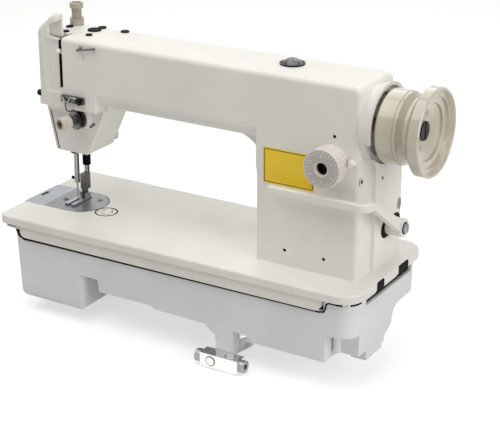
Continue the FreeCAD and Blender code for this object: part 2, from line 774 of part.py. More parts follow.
def make_arm_top_fittings():
    plugs = []
    for x, y, radius in ((-187, 0, 4.3), (-177.5, -19.5, 3.9), (-152.7, 2, 8), (-151, 15, 5), (-145, -19, 4),
                         (-118, 14, 5)):
        plugs.append(rod("arm_plug", radius, 1.4, x, y, size.arm_top))
    keep(group("plug_group", plugs), "arm_plugs")
    ring = tube("sight_ring", 14, 12, 1.6, size.sight_x, size.sight_y, size.arm_top)
    keep(ring, "oil_sight_ring")
    dome = doc.addObject("Part::Sphere", "sight_dome")
    bind(dome, "Radius", size.sight_dome)
    bind(dome, "Angle1", 30)
    put(dome, size.sight_x, size.sight_y, size.arm_top - size.sight_dome / 2 + 0.01)
    keep(dome, "oil_sight_window")
    place = (size.regulator_x, size.regulator_y)
    keep(tube("lock_nut", 8.4, size.regulator + 0.1, 8.5, *place, size.arm_top), "regulator_lock_nut")
    stem = rod("regulator_stem", size.regulator_stem, 20, *place, size.arm_top - 25)
    neck = rod("regulator_neck", size.regulator, 28, *place, size.arm_top - 7)
    head = slotted_screw("regulator_head", 8, 6, *place, size.arm_top + 20.5)
    mouth = rod("regulator_mouth", 4.6, 4, *place, size.arm_top + 23.5)
    keep(cut("regulator", fused("regulator_whole", [stem, neck, head]), [mouth]), "presser_regulator")


# Plates in the bed

def make_plates():
    low = size.bed_top - size.plate_depth + size.running_gap
    middle_y = (size.plate_front + size.plate_back) / 2
    half = (size.plate_back - size.plate_front) / 2 - size.seat_gap
    height = size.bed_top - low
    body = new_body("needle_plate")
    pad(body, draw_circle(new_sketch(body, "XY", low), size.plate_centre, middle_y, half), height)
    pad(body, draw_box(new_sketch(body, "XY", low), size.slide_edge + size.seat_gap, size.plate_centre,
                       middle_y - half, middle_y + half), height)
    holes = new_sketch(body, "XY", size.bed_top + 1)
    draw_circle(holes, size.needle_x, size.axis_y, 1.1)
    for side in (-1, 1):
        middle = size.needle_x + size.feed_pitch * side
        draw_box(holes, middle - 1.7, middle + 1.7, size.axis_y - 17, size.axis_y + 20)
    pocket(body, holes, size.plate_depth + 2)
    keep(body, "needle_plate")
    screws = [slotted_screw("plate_screw", 3.4, 0.5, x, y, size.bed_top) for x, y in ((-198, -8), (-160, 10))]
    keep(group("plate_screw_group", screws), "needle_plate_screws")
    slide = new_body("slide_plate")
    pad(slide, draw_box(new_sketch(slide, "XY", low), -size.bed_length / 2, size.slide_edge,
                        middle_y - half, middle_y + half), height)
    finger = new_sketch(slide, "XY", size.bed_top + 1)
    draw_box(finger, -size.bed_length / 2 + 4, -size.bed_length / 2 + 8, middle_y - 7, middle_y + 7)
    pocket(slide, finger, 2)
    keep(slide, "slide_plate")
    cap = new_body("bed_cap")
    pad(cap, draw_circle(new_sketch(cap, "XY", size.bed_top - 3), size.cap_x, size.cap_y, 13.5), 3)
    ring = new_sketch(cap, "XY", size.bed_top + 1)
    draw_circle(ring, size.cap_x, size.cap_y, 12.4)
    draw_circle(ring, size.cap_x, size.cap_y, 11.6)
    pocket(cap, ring, 1.6)
    keep(cap, "bed_oil_cap")


# Oil pan

def pan_shell(name, inset, top):
    """The stepped pan as a block: the outside with no inset, the room inside with the wall as inset."""
    body = new_body(name)
    front = new_sketch(body, "XZ", size.pan_front + inset)
    draft = 2
    step_left = size.middle_step + inset - 3
    step_right = size.middle_step + inset + 3
    draw_outline(front, [
        (size.pan_left + inset, top), (size.pan_left + inset + draft * 2.5, size.tub_bottom + inset),
        (size.tub_right - inset - draft, size.tub_bottom + inset),
        (size.tub_right - inset, size.notch_bottom + inset),
        (size.notch_right + inset, size.notch_bottom + inset),
        (size.notch_right + inset + draft, size.middle_bottom + inset),
        (step_left, size.middle_bottom + inset), (step_right, size.middle_bottom - 3.5 + inset),
        (size.middle_right - 6 + inset, size.middle_bottom - 6 + inset),
        (size.middle_right + 3 + inset, size.right_bottom + inset),
        (size.pan_right - inset - draft, size.right_bottom - 1 + inset), (size.pan_right - inset, top)])
    pad(body, front, (-size.pan_front - inset) * 2)
    ends = (plain(size.pan_left + inset), plain(size.pan_right - inset))
    round_edges(body, size.pan_round - inset, lambda middle, way: along(way, "z") and middle.x > ends[1] - 3)
    round_edges(body, size.pan_left_round - inset, lambda middle, way: along(way, "z")
                and middle.x < ends[0] + 4)
    round_edges(body, size.pan_round / 2 - inset, lambda middle, way: along(way, "y")
                and middle.z < plain(size.tub_bottom + inset) + 1)
    rear = new_sketch(body, "YZ", size.middle_right - inset)
    slope = [(-3, -90), (1, -64), (15, -57), (19, -46), (22, -39), (31, -35), (100, -35), (100, -90)]
    draw_outline(rear, [(as_size(y) - inset, as_size(z) + inset) for y, z in slope])
    pocket(body, rear, size.bed_length / 2, forward=True)
    niche = new_sketch(body, "XY", size.niche_top + inset)
    reach = size.bed_length
    draw_box(niche, size.niche_left - inset, reach, -reach, size.niche_back + inset)
    pocket(body, niche, reach)
    niche_floor = new_sketch(body, "XY", size.niche_floor + inset)
    draw_box(niche_floor, size.niche_left - inset, reach, -reach, size.niche_back + 18 + inset)
    pocket(body, niche_floor, reach)
    return body


def make_pan():
    lip_top = size.lip_thickness
    outer = pan_shell("pan_outside", as_size(0), lip_top)
    inner = pan_shell("pan_room", size.pan_wall, lip_top + 20)
    back = size.bed_width / 2
    skirt_room = block("pan_skirt_room", size.skirt_left - 2, size.skirt_right + 2, -back, back,
                       size.skirt_bottom - 1, 30)
    end_room = block("pan_end_room", size.skirt_right, size.pan_right + 10, -50, 60, size.skirt_bottom + 1, 30)
    walls = cut("pan_walls", outer, [inner, skirt_room, end_room])
    lip = new_body("pan_lip")
    pad(lip, draw_box(new_sketch(lip, "XY"), size.lip_left, size.skirt_left - 2, size.pan_front - 4,
                      -size.pan_front + 4), lip_top)
    round_edges(lip, 22, lambda middle, way: along(way, "z") and middle.x < plain(size.lip_left) + 1)
    shelves = [block("pan_shelf", size.skirt_right + 2, size.pan_right - 6, y_low, y_high, 0, lip_top)
               for y_low, y_high in ((size.pan_front + 1, -52), (61, -size.pan_front - 1))]
    lip_trim = block("pan_lip_trim", size.pan_left + 5, size.pan_left + 20, -52, 52, -1, lip_top + 1)
    lip_part = cut("pan_lip_trimmed", lip, [lip_trim])
    foot = block("pan_foot", size.niche_left + 12, size.pan_right - 2.5, size.niche_back + 20, -4,
                 size.foot_bottom, size.right_bottom)
    pillar = rod("niche_pillar", 4.6, size.niche_top - size.niche_floor, size.niche_left + 5.5, size.niche_back,
                 size.niche_floor)
    pylon = new_body("knee_pylon")
    pylon_front = new_sketch(pylon, "XZ", size.block_front + size.block_height + 0.5)
    draw_outline(pylon_front, [
        (size.knee_x - 17, size.middle_bottom + 10), (size.knee_x + 19, size.middle_bottom + 10),
        (size.knee_x + 18.5, size.knee_z + 11), (size.knee_x + 13, size.knee_z - 9),
        (size.knee_x - 9, size.knee_z - 9),
        (size.knee_x - 9, size.knee_z), (size.knee_x - 2.5, size.knee_z + 12.5),
        (size.knee_x - 4, size.knee_z + 24.5),
        (size.knee_x - 17, size.middle_bottom - 6)])
    pad(pylon, pylon_front, 16)
    whole = fused("pan_whole", [walls, lip_part, pylon, foot, pillar] + shelves)
    shaft_hole = rod("knee_shaft_hole", size.knee_shaft + size.running_gap, 40, size.knee_x,
                     size.block_front + 10, size.knee_z, ALONG_Y)
    push_hole = rod("push_rod_hole", size.push_rod + 0.3, 50, size.push_x, size.push_y, -90)
    keep(cut("pan", whole, [shaft_hole, push_hole]), "oil_pan")
    pads = []
    for x in (-228, 210):
        for y in (-74, 66):
            pads.append(block("cushion", x, x + 12, y, y + 8, lip_top, size.bed_top - size.bed_rim))
    keep(group("cushion_group", pads), "corner_cushions")


# Knee lifter

def make_knee_lifter():
    low = size.knee_z - size.block_height / 2
    back = size.block_front + size.block_height
    solid = block("knee_bar", size.block_left, size.block_right, size.block_front, back, low,
                  low + size.block_height)
    bore = rod("knee_bar_bore", size.knee_shaft, 30, size.knee_x, size.block_front - 5, size.knee_z, ALONG_Y)
    socket = rod("knee_rod_bore", size.knee_rod, 30, size.block_right - 14,
                 size.block_front + size.block_height / 2, low - 5)
    keep(cut("knee_block_solid", solid, [bore, socket]), "knee_block")
    axle = rod("knee_axle", size.knee_shaft, 42, size.knee_x, size.block_front - 0.6, size.knee_z, ALONG_Y)
    middle_y = size.block_front + size.block_height / 2
    knob = slotted_screw("knee_bolt", 7.6, 8, size.block_left, middle_y, size.knee_z, TO_LEFT)
    collar = tube("knee_socket", 7.2, 3, 6, size.block_right, middle_y, size.knee_z, ALONG_X)
    keep(group("knee_bolt_group", [knob, collar]), "knee_block_bolts")
    crank = new_body("knee_crank")
    side = new_sketch(crank, "XZ", back + 17)
    reach = size.push_x - size.knee_x
    draw_outline(side, [
        (size.knee_x - 8, size.knee_z - 5), (size.knee_x + 4, size.knee_z - 9),
        (size.push_x + 6, size.knee_z + reach / 2),
        (size.push_x + 4, size.knee_z + reach / 2 + 7), (size.push_x - 5, size.knee_z + reach / 2 + 7),
        (size.knee_x - 4, size.knee_z + 9)])
    pad(crank, side, 6)
    keep(fused("knee_shaft_whole", [axle, crank]), "knee_shaft")
    keep(rod("push_rod_solid", size.push_rod, 60, size.push_x, size.push_y, size.knee_z + reach / 2 + 8),
         "knee_push_rod")


# Drive train

def make_handwheel():
    wheel = turned("handwheel", [
        (size.wheel_left, size.shaft_radius), (size.wheel_left, size.drum_radius - 2),
        (size.wheel_left + 2, size.drum_radius), (size.groove_left, size.drum_radius),
        (size.groove_left + 4, size.groove_radius), (size.flange_left - 6, size.groove_radius),
        (size.flange_left - 1, size.flange_radius - 4), (size.flange_left, size.flange_radius - 1),
        (size.flange_left + 1.5, size.flange_radius), (size.wheel_right - 1.5, size.flange_radius),
        (size.wheel_right, size.flange_radius - 1.5), (size.wheel_right, size.flange_radius - 4),
        (size.wheel_right - 6, size.flange_radius - 7), (size.wheel_right - 7, size.flange_radius - 16),
        (size.hub_face + 2.5, size.flange_radius - 18), (size.hub_face + 2, 17), (size.hub_face, 16),
        (size.hub_face, size.shaft_radius)], 0, size.axis_y, size.shaft_z)
    keep(wheel, "handwheel")
    keep(slotted_screw("hub_screw", 10.5, 1.5, size.hub_face, size.axis_y, size.shaft_z, ALONG_X),
         "handwheel_screw")


def make_main_shaft():
    web = size.web_left
    left = web - 12
    keep(rod("main_shaft_rod", size.shaft_radius, size.hub_face - left, left, size.axis_y, size.shaft_z, ALONG_X),
         "main_shaft")
    disc = rod("crank_disc", size.crank_disc, 8, left, size.axis_y, size.shaft_z, ALONG_X)
    bore = rod("crank_bore", size.shaft_radius, 8, left, size.axis_y, size.shaft_z, ALONG_X)
    drop = size.crank_drop
    side = Size(math.sqrt(plain(size.crank_throw) ** 2 - plain(drop) ** 2),
                f"sqrt({size.crank_throw.formula} ^ 2 - {drop.formula} ^ 2)")
    pin = rod("crank_pin", 3.5, 8, left - 8, size.axis_y - side, size.shaft_z - drop, ALONG_X)
    keep(fused("crank_whole", [cut("crank_ring", disc, [bore]), pin]), "needle_bar_crank")
    outer = size.shaft_radius + size.running_gap + size.bush_wall
    inner = size.shaft_radius + size.running_gap
    places = (web - 1, size.column_left - 2, size.column_right - size.casting_wall - 4)
    bushes = [tube("shaft_bush", outer, inner, 14, x, size.axis_y, size.shaft_z, ALONG_X) for x in places]
    return bushes


def bevel_gear(teeth, radius, mate_radius, face, bore):
    """A straight bevel gear on the Z axis with its apex at the origin and its back towards +Z.

    The teeth are narrower than the gaps, so that a pair runs with backlash.
    """
    cone = math.hypot(radius, mate_radius)
    module = 2 * radius / teeth
    small = (cone - face) / cone
    outward = Vector(mate_radius / cone, 0, -radius / cone)
    pitch_point = Vector(radius, 0, mate_radius)
    across = Vector(0, 1, 0)
    tip = 0.75 * module
    root = 1.05 * module
    half_tip = 0.17 * math.pi * module / 2 + 0.05 * module
    half_root = 0.27 * math.pi * module
    corners = []
    for lift, half in ((-root - 0.2 * module, half_root), (tip, half_tip)):
        for sign in ((-1, 1) if lift < 0 else (1, -1)):
            corners.append(pitch_point + outward * lift + across * (half * sign))
    wires = [Part.makePolygon([point * scale for point in corners + corners[:1]]) for scale in (1, small)]
    tooth = Part.makeLoft(wires, True, True)
    large_root = pitch_point - outward * root
    small_root = large_root * small
    back = mate_radius + 5
    hub = [Vector(0, 0, small_root.z), small_root, large_root, Vector(large_root.x, 0, back), Vector(0, 0, back)]
    blank = Part.Face(Part.makePolygon(hub + hub[:1])).revolve(Vector(), Vector(0, 0, 1), 360)
    cogs = []
    for place in range(teeth):
        cog = tooth.copy()
        cog.rotate(Vector(), Vector(0, 0, 1), 360 * place / teeth)
        cogs.append(cog)
    gear = blank.fuse(cogs)
    if bore:
        gear = gear.cut(Part.makeCylinder(bore, 200, Vector(0, 0, -100)))
    return gear.removeSplitter()


def make_gear(label, shape, apex, way, turn):
    gear = doc.addObject("Part::Feature", f"{label}_solid")
    gear.Shape = shape
    spin = Rotation(Vector(0, 0, 1), turn)
    gear.Placement = Placement(apex, Rotation(Vector(0, 0, 1), way).multiply(spin))
    keep(gear, label)


def make_gears():
    face = plain(size.gear_face)
    upper = plain(size.upper_radius)
    lower = plain(size.lower_radius)
    upper_teeth = int(plain(size.upper_teeth))
    lower_teeth = int(plain(size.lower_teeth))
    hook_teeth = int(plain(size.hook_teeth))
    hook = lower * hook_teeth / lower_teeth
    top_apex = Vector(plain(size.upright_x), plain(size.axis_y), plain(size.shaft_z))
    low_apex = Vector(plain(size.upright_x), plain(size.axis_y), plain(size.hook_z))
    upright = plain(size.upright_radius)
    make_gear("main_bevel_gear", bevel_gear(upper_teeth, upper, upper, face, plain(size.shaft_radius)),
              top_apex, Vector(1, 0, 0), 0)
    make_gear("upright_upper_gear", bevel_gear(upper_teeth, upper, upper, face, upright),
              top_apex, Vector(0, 0, -1), 180 / upper_teeth)
    make_gear("upright_lower_gear", bevel_gear(lower_teeth, lower, hook, face, upright),
              low_apex, Vector(0, 0, 1), 0)
    make_gear("hook_shaft_gear", bevel_gear(hook_teeth, hook, lower, face, 0),
              low_apex, Vector(-1, 0, 0), 180 / hook_teeth)


def make_lower_drive():
    low = size.hook_z + 6.6
    keep(rod("upright_rod", size.upright_radius, size.shaft_z - 13 - low, size.upright_x, size.axis_y, low),
         "upright_shaft")
    bushes = [tube("upright_bush", size.shaft_radius + size.bush_wall, size.upright_radius + size.running_gap, 20,
                   size.upright_x, size.axis_y, 68)]
    right = size.upright_x - size.lower_radius - 5
    keep(rod("hook_rod", size.shaft_radius, right - size.hook_left - 18, size.hook_left + 18, size.axis_y,
             size.hook_z, ALONG_X), "hook_shaft")
    outer = size.shaft_radius + size.running_gap + size.bush_wall
    for x in (-148, 59):
        bushes.append(tube("hook_bush", outer, size.shaft_radius + size.running_gap, 26, x, size.axis_y,
                           size.hook_z, ALONG_X))
    hook = turned("rotary_hook", [
        (size.hook_left, 14), (size.hook_left, 16), (size.hook_left + 1, 17), (size.hook_left + 14, 17),
        (size.hook_left + 18, 13), (size.hook_left + 18, 10), (size.hook_left + 26, 10),
        (size.hook_left + 26, size.shaft_radius), (size.hook_left + 18, size.shaft_radius),
        (size.hook_left + 18, 0),
        (size.hook_left + 14, 0), (size.hook_left + 14, 14)], 0, size.axis_y, size.hook_z)
    doc.recompute()
    gap = new_sketch(hook, "YZ", size.hook_left - 1)
    draw_outline(gap, [(0, 8), (22, 8), (22, 30), (-6, 30)])
    pocket(hook, gap, 7, forward=True)
    keep(hook, "rotary_hook")
    case = turned("bobbin_case", [
        (size.hook_left - 9, 3), (size.hook_left - 9, 12), (size.hook_left - 8, 13),
        (size.hook_left + 12, 13),
        (size.hook_left + 12, 11.8), (size.hook_left - 7, 11.8),
        (size.hook_left - 7, 3)], 0, size.axis_y, size.hook_z)
    keep(case, "bobbin_case")
    bobbin = turned("bobbin", [
        (size.hook_left - 5, 3), (size.hook_left - 5, 10.5), (size.hook_left - 4, 10.5),
        (size.hook_left - 4, 4.5),
        (size.hook_left + 3, 4.5), (size.hook_left + 3, 10.5), (size.hook_left + 4, 10.5),
        (size.hook_left + 4, 3)],
        0, size.axis_y, size.hook_z)
    keep(bobbin, "bobbin")
    return bushes


def make_feed_dog():
    pieces = [block("feed_base", size.needle_x - 8, size.needle_x + 8, size.axis_y - 13, size.axis_y + 13, 5, 11)]
    for side in (-1, 1):
        middle = size.needle_x + size.feed_pitch * side
        body = new_body("feed_teeth")
        profile = new_sketch(body, "YZ", middle - 1.2)
        step = 2.6
        crest = size.bed_top - 0.5
        corners = [(size.axis_y - 13, 10), (size.axis_y + 13, 10)]
        for tooth in range(10):
            corners.append((size.axis_y + 13 - step * tooth, crest))
            corners.append((size.axis_y + 13 - step * (tooth + 1), crest - 1.4))
        draw_outline(profile, corners)
        pad(body, profile, 2.4)
        pieces.append(body)
    needle_room = block("feed_needle_room", size.needle_x - 2, size.needle_x + 2, size.axis_y - 5,
                        size.axis_y + 5, 3, 13)
    keep(cut("feed_dog_solid", fused("feed_dog_whole", pieces), [needle_room]), "feed_dog")


# Needle bar, take-up and presser

def make_needle_bar():
    keep(rod("needle_bar_rod", size.needle_bar, size.bar_top - size.bar_bottom, size.needle_x, size.axis_y,
             size.bar_bottom), "needle_bar")
    shank = rod("needle_shank", 1, 10, size.needle_x, size.axis_y, size.bar_bottom - 10)
    blade = rod("needle_blade", size.needle_radius, size.bar_bottom - size.needle_tip - 14, size.needle_x, size.axis_y,
                size.needle_tip + 4)
    point = doc.addObject("Part::Cone", "needle_point")
    bind(point, "Radius1", 0.1)
    bind(point, "Radius2", size.needle_radius)
    bind(point, "Height", 4)
    put(point, size.needle_x, size.axis_y, size.needle_tip)
    keep(fused("needle_whole", [shank, blade, point]), "needle")
    keep(slotted_screw("clamp_screw", 2, 4, size.needle_x - size.needle_bar, size.axis_y, size.bar_bottom + 5,
                       TO_LEFT),
         "needle_clamp_screw")
    clamp = tube("stud_clamp", 7, size.needle_bar, 12, size.needle_x, size.axis_y, size.stud_z - 6)
    web = size.web_left
    stud = rod("link_stud", 3.45, web - 21 - size.needle_x - 5, size.needle_x + 5, size.axis_y, size.stud_z, ALONG_X)
    keep(fused("stud_whole", [clamp, stud]), "needle_bar_stud")
    outer = size.needle_bar + 1.5
    inner = size.needle_bar + size.running_gap
    bushes = [tube("bar_bush", outer, inner, length, size.needle_x, size.axis_y, z)
              for z, length in ((size.head_bottom - 2, 12), (size.arm_top - 34, 31))]
    make_link(web)
    return bushes


def make_link(web):
    """The link lies along its own Y axis from the stud to the crank pin and is then tilted about the stud."""
    length = plain(size.link_length)
    body = new_body("needle_bar_link")
    side = new_sketch(body, "YZ")
    eye = 6
    far = size.link_length
    draw_outline(side, [
        (-eye / 2, -eye), (eye / 2, -eye), (eye, -eye / 2), (eye, eye / 2), (eye / 2, eye + 2),
        (eye / 2, far - eye - 2), (eye, far - eye / 2), (eye, far + eye / 2), (eye / 2, far + eye),
        (-eye / 2, far + eye), (-eye, far + eye / 2), (-eye, far - eye / 2), (-eye / 2, far - eye - 2),
        (-eye / 2, eye + 2), (-eye, eye / 2), (-eye, -eye / 2)])
    pad(body, side, 5)
    holes = new_sketch(body, "YZ", -1)
    draw_circle(holes, 0, 0, 3.5)
    draw_circle(holes, 0, far, 3.55)
    pocket(body, holes, 8, forward=True)
    drop = plain(size.crank_drop)
    throw = math.sqrt(plain(size.crank_throw) ** 2 - drop ** 2)
    tilt = math.degrees(math.asin(throw / length))
    put(body, web - 27, size.axis_y, size.stud_z, Rotation(Vector(1, 0, 0), tilt))
    keep(body, "needle_bar_link")


def make_takeup():
    keep(rod("takeup_pin_rod", size.takeup_pin, 15, size.guard_right - 10, size.takeup_y, size.takeup_z, ALONG_X),
         "takeup_pivot")
    body = new_body("takeup_lever")
    side = new_sketch(body, "YZ")
    draw_outline(side, [(5, -4), (5, 4), (2, 6.5), (-6, 6), (-32, 2.5), (-37, 2.5), (-37, -2.5), (-32, -2.5),
                        (-6, -6), (2, -6.5)])
    pad(body, side, 2)
    holes = new_sketch(body, "YZ", -1)
    draw_circle(holes, 0, 0, size.takeup_pin + size.running_gap)
    draw_circle(holes, -34, 0, 1.4)
    pocket(body, holes, 6, forward=True)
    put(body, size.guard_right + 1, size.takeup_y, size.takeup_z, Rotation(Vector(1, 0, 0), -27))
    keep(body, "takeup_lever")


def make_presser():
    keep(rod("presser_rod", size.presser_bar, size.arm_top - 40 - 30, size.needle_x, size.presser_y, 30),
         "presser_bar")
    keep(tube("presser_sleeve", size.sleeve_radius, size.presser_bar + size.running_gap,
              size.head_bottom + 10 - size.sleeve_bottom, size.needle_x, size.presser_y, size.sleeve_bottom),
         "presser_bar_bush")
    body = new_body("foot_shank")
    top = new_sketch(body, "XY", 27)
    draw_box(top, size.needle_x - 3.8, size.needle_x + 3.8, size.presser_y - 9, size.presser_y + 1)
    pad(body, top, 20)
    tongue = new_sketch(body, "XY", 18)
    draw_box(tongue, size.needle_x - 2, size.needle_x + 2, size.presser_y - 9, size.presser_y - 2)
    pad(body, tongue, 10)
    bar_hole = new_sketch(body, "XY", 30)
    draw_circle(bar_hole, size.needle_x, size.presser_y, size.presser_bar)
    pocket(body, bar_hole, 30, forward=True)
    pin_hole = new_sketch(body, "YZ", size.needle_x - 10)
    draw_circle(pin_hole, size.presser_y - 6, 20.5, 1.25)
    pocket(body, pin_hole, 20, forward=True)
    keep(body, "presser_foot_shank")
    keep(slotted_screw("foot_screw", 2.8, 4, size.needle_x - 3.8, size.presser_y + 2, 31, TO_LEFT),
         "presser_foot_screw")
    sole = new_body("foot_sole")
    outline = new_sketch(sole, "XY", size.bed_top + 0.5)
    left = size.needle_x - 7
    right = size.needle_x + 7
    front = size.axis_y - 17
    draw_outline(outline, [
        (left, front), (size.needle_x - 1.6, front), (size.needle_x - 1.6, size.axis_y + 3),
        (size.needle_x + 1.6, size.axis_y + 3), (size.needle_x + 1.6, front), (right, front),
        (right, size.presser_y - 3), (left, size.presser_y - 3)])
    pad(sole, outline, 2)
    lugs = new_sketch(sole, "XY", size.bed_top + 2)
    for side in (-1, 1):
        middle = size.needle_x + 4.4 * side
        draw_box(lugs, middle - 1.6, middle + 1.6, size.presser_y - 9, size.presser_y - 3)
    pad(sole, lugs, 6)
    pin = new_sketch(sole, "YZ", size.needle_x - 6)
    draw_circle(pin, size.presser_y - 6, 20.5, 1.2)
    pad(sole, pin, 12)
    keep(sole, "presser_foot_sole")
    lifter = new_body("hand_lifter")
    hub = new_sketch(lifter, "XZ", size.arm_back_left + 0.4)
    draw_circle(hub, size.lifter_x, size.lifter_z, 7)
    pad(lifter, hub, 7)
    handle = new_sketch(lifter, "XZ", size.arm_back_left + 2.4)
    draw_outline(handle, [
        (size.lifter_x - 4, size.lifter_z + 5), (size.lifter_x - 5, size.lifter_z - 4),
        (size.lifter_x + 8, size.lifter_z - 34), (size.lifter_x + 16, size.lifter_z - 38),
        (size.lifter_x + 17, size.lifter_z - 31), (size.lifter_x + 6, size.lifter_z + 3)])
    pad(lifter, handle, 5)
    stem = new_sketch(lifter, "XZ", size.arm_back_left + 1)
    draw_circle(stem, size.lifter_x, size.lifter_z, 3.95)
    pad(lifter, stem, size.casting_wall + 2, forward=False)
    keep(lifter, "hand_lifter")


# Thread guides and tension

def make_guides():
    left = -140.6
    rise = 0.19
    rising = Rotation(Vector(0, 0, 1), Vector(1, 0, rise))
    bar = rod("upper_guide_bar", 1.2, 26, left, size.arm_front - 3.5, size.arm_top - 10, rising)
    feet = [rod("upper_guide_foot", 1.2, size.recess_depth * sunk + 3.5, left + run,
                size.arm_front + size.recess_depth * sunk, size.arm_top - 10 + run * rise, TO_OPERATOR)
            for run, sunk in ((2, 1), (21, 0))]
    keep(fused("upper_guide", [bar] + feet), "upper_thread_guide")
    body = new_body("lower_guide")
    plate = new_sketch(body, "XZ", size.arm_front - 4)
    draw_box(plate, size.guard_right + 3, size.guard_right + 34, size.head_bend + 9, size.head_bend + 17)
    pad(body, plate, 4)
    holes = new_sketch(body, "XZ", size.arm_front - 5)
    for x in (6, 12):
        draw_circle(holes, size.guard_right + x, size.head_bend + 13, 1.5)
    pocket(body, holes, 6, forward=True)
    keep(body, "lower_thread_guide")
    return [slotted_screw("guide_screw", 3.4, 2.5, size.guard_right + 28, size.arm_front - 4, size.head_bend + 13,
                          TO_OPERATOR)]


def on_tension(thing, distance, flip=Rotation()):
    """Stand a piece on the tension post, off the boss, with its Z axis along the post and its Y axis up."""
    turn = math.radians(plain(size.tension_turn))
    sine = Size(math.sin(turn), "sin(Sizes.tension_turn * 1deg)")
    cosine = Size(math.cos(turn), "cos(Sizes.tension_turn * 1deg)")
    run = size.boss_length + distance
    way = Vector(-sine.number, -cosine.number, 0)
    upright = Vector(0, 0, 1)
    rotation = Rotation(upright.cross(way), upright, way, "ZYX")
    return put(thing, size.tension_x - sine * run, size.tension_y - cosine * run, size.tension_z,
               rotation.multiply(flip))


def wound_spring(radius, wire, pitch, turns):
    """One unbroken tube on arcs of half a turn, with the least gap between its turns measured and printed."""
    arcs = []
    half = Vector(0, 0, pitch / 2)
    for step in range(int(turns * 2)):
        low = half * step
        side = radius if step % 2 == 0 else -radius
        arcs.append(Part.Arc(Vector(side, 0, 0) + low, Vector(0, side, 0) + low + half / 2,
                             Vector(-side, 0, 0) + low + half).toShape())
    steps = 24
    points = [point for arc in arcs for point in arc.discretize(steps + 1)[:-1]]
    apart = min((points[far] - points[near]).Length
                for near in range(len(points)) for far in range(near + steps, len(points)))
    print("tension spring least gap between turns", round(apart - wire, 2))
    return round_wire(arcs, wire / 2)


def make_tension():
    barrel = on_tension(rod("tension_barrel", size.disc_radius - 2, size.barrel_length), 0)
    stud = on_tension(rod("tension_stud", size.stud_radius, 26), size.barrel_length)
    keep(fused("tension_post_whole", [barrel, stud]), "tension_post")
    discs = []
    for distance, axis in ((5.3, Vector(0, 0, 1)), (7.7, Vector(0, 0, -1))):
        body = new_body("tension_disc")
        revolve(body, draw_outline(new_sketch(body, "XZ"), [
            (0, size.stud_radius), (0.9, size.stud_radius), (0.9, 6), (-0.5, size.disc_radius),
            (-1.3, size.disc_radius), (0, 6)]))
        discs.append(on_tension(body, distance, Rotation(Vector(1, 0, 0), axis)))
    keep(group("disc_group", discs), "tension_discs")
    spring = doc.addObject("Part::Feature", "tension_spring_tube")
    spring.Shape = wound_spring(plain(size.spring_radius), plain(size.spring_wire), plain(size.spring_pitch),
                                plain(size.spring_turns))
    keep(on_tension(spring, 9.2), "tension_spring")
    nut = new_body("tension_nut")
    pad(nut, draw_circle(new_sketch(nut, "XY"), 0, 0, size.nut_radius), size.nut_depth)
    bore = new_sketch(nut, "XY", -1)
    draw_circle(bore, 0, 0, size.stud_radius + size.running_gap)
    pocket(nut, bore, size.nut_depth + 2, forward=True)
    mouth = new_sketch(nut, "XY", size.nut_depth + 1)
    draw_circle(mouth, 0, 0, size.nut_radius - 2)
    pocket(nut, mouth, 2.5)
    keep(on_tension(nut, 17.5), "tension_nut")
    make_check_spring()


def make_check_spring():
    """A wire loop round the barrel that runs out to the thread in front of the lower guide."""
    radius = plain(size.disc_radius) - 1
    loop = []
    for angle in (20, -100, -220):
        turn = math.radians(angle)
        loop.append(Vector(radius * math.cos(turn), radius * math.sin(turn), 0))
    arm = [loop[-1], Vector(0, 12.5, 0), Vector(0, 12.5, 18.5), Vector(-2, 24, 18.5)]
    check = doc.addObject("Part::Feature", "check_spring_wire")
    check.Shape = round_wire([Part.Arc(*loop).toShape()] + bent_path(arm), 0.6)
    keep(on_tension(check, size.barrel_length / 2), "check_spring")


def bent_path(points):
    """Straight runs joined by arcs that take nearly half of the shorter run."""
    edges = []
    here = points[0]
    for place in range(1, len(points) - 1):
        back = points[place - 1] - points[place]
        ahead = points[place + 1] - points[place]
        reach = 0.45 * min(back.Length, ahead.Length)
        back.normalize()
        ahead.normalize()
        turn = math.acos(-(back * ahead))
        bend = reach / math.tan(turn / 2)
        start = points[place] + back * reach
        end = points[place] + ahead * reach
        inward = back + ahead
        inward.normalize()
        centre = points[place] + inward * math.hypot(bend, reach)
        edges.append(Part.makeLine(here, start))
        edges.append(Part.Arc(start, centre - inward * bend, end).toShape())
        here = end
    edges.append(Part.makeLine(here, points[-1]))
    return edges


def round_wire(edges, radius):
    """A solid round wire along a path of joined edges."""
    first = edges[0]
    start = first.valueAt(first.FirstParameter)
    ring = Part.Wire(Part.Circle(start, first.tangentAt(first.FirstParameter), radius).toShape())
    return Part.Wire(edges).makePipeShell([ring], True, False)


# Stitch dial and reverse lever

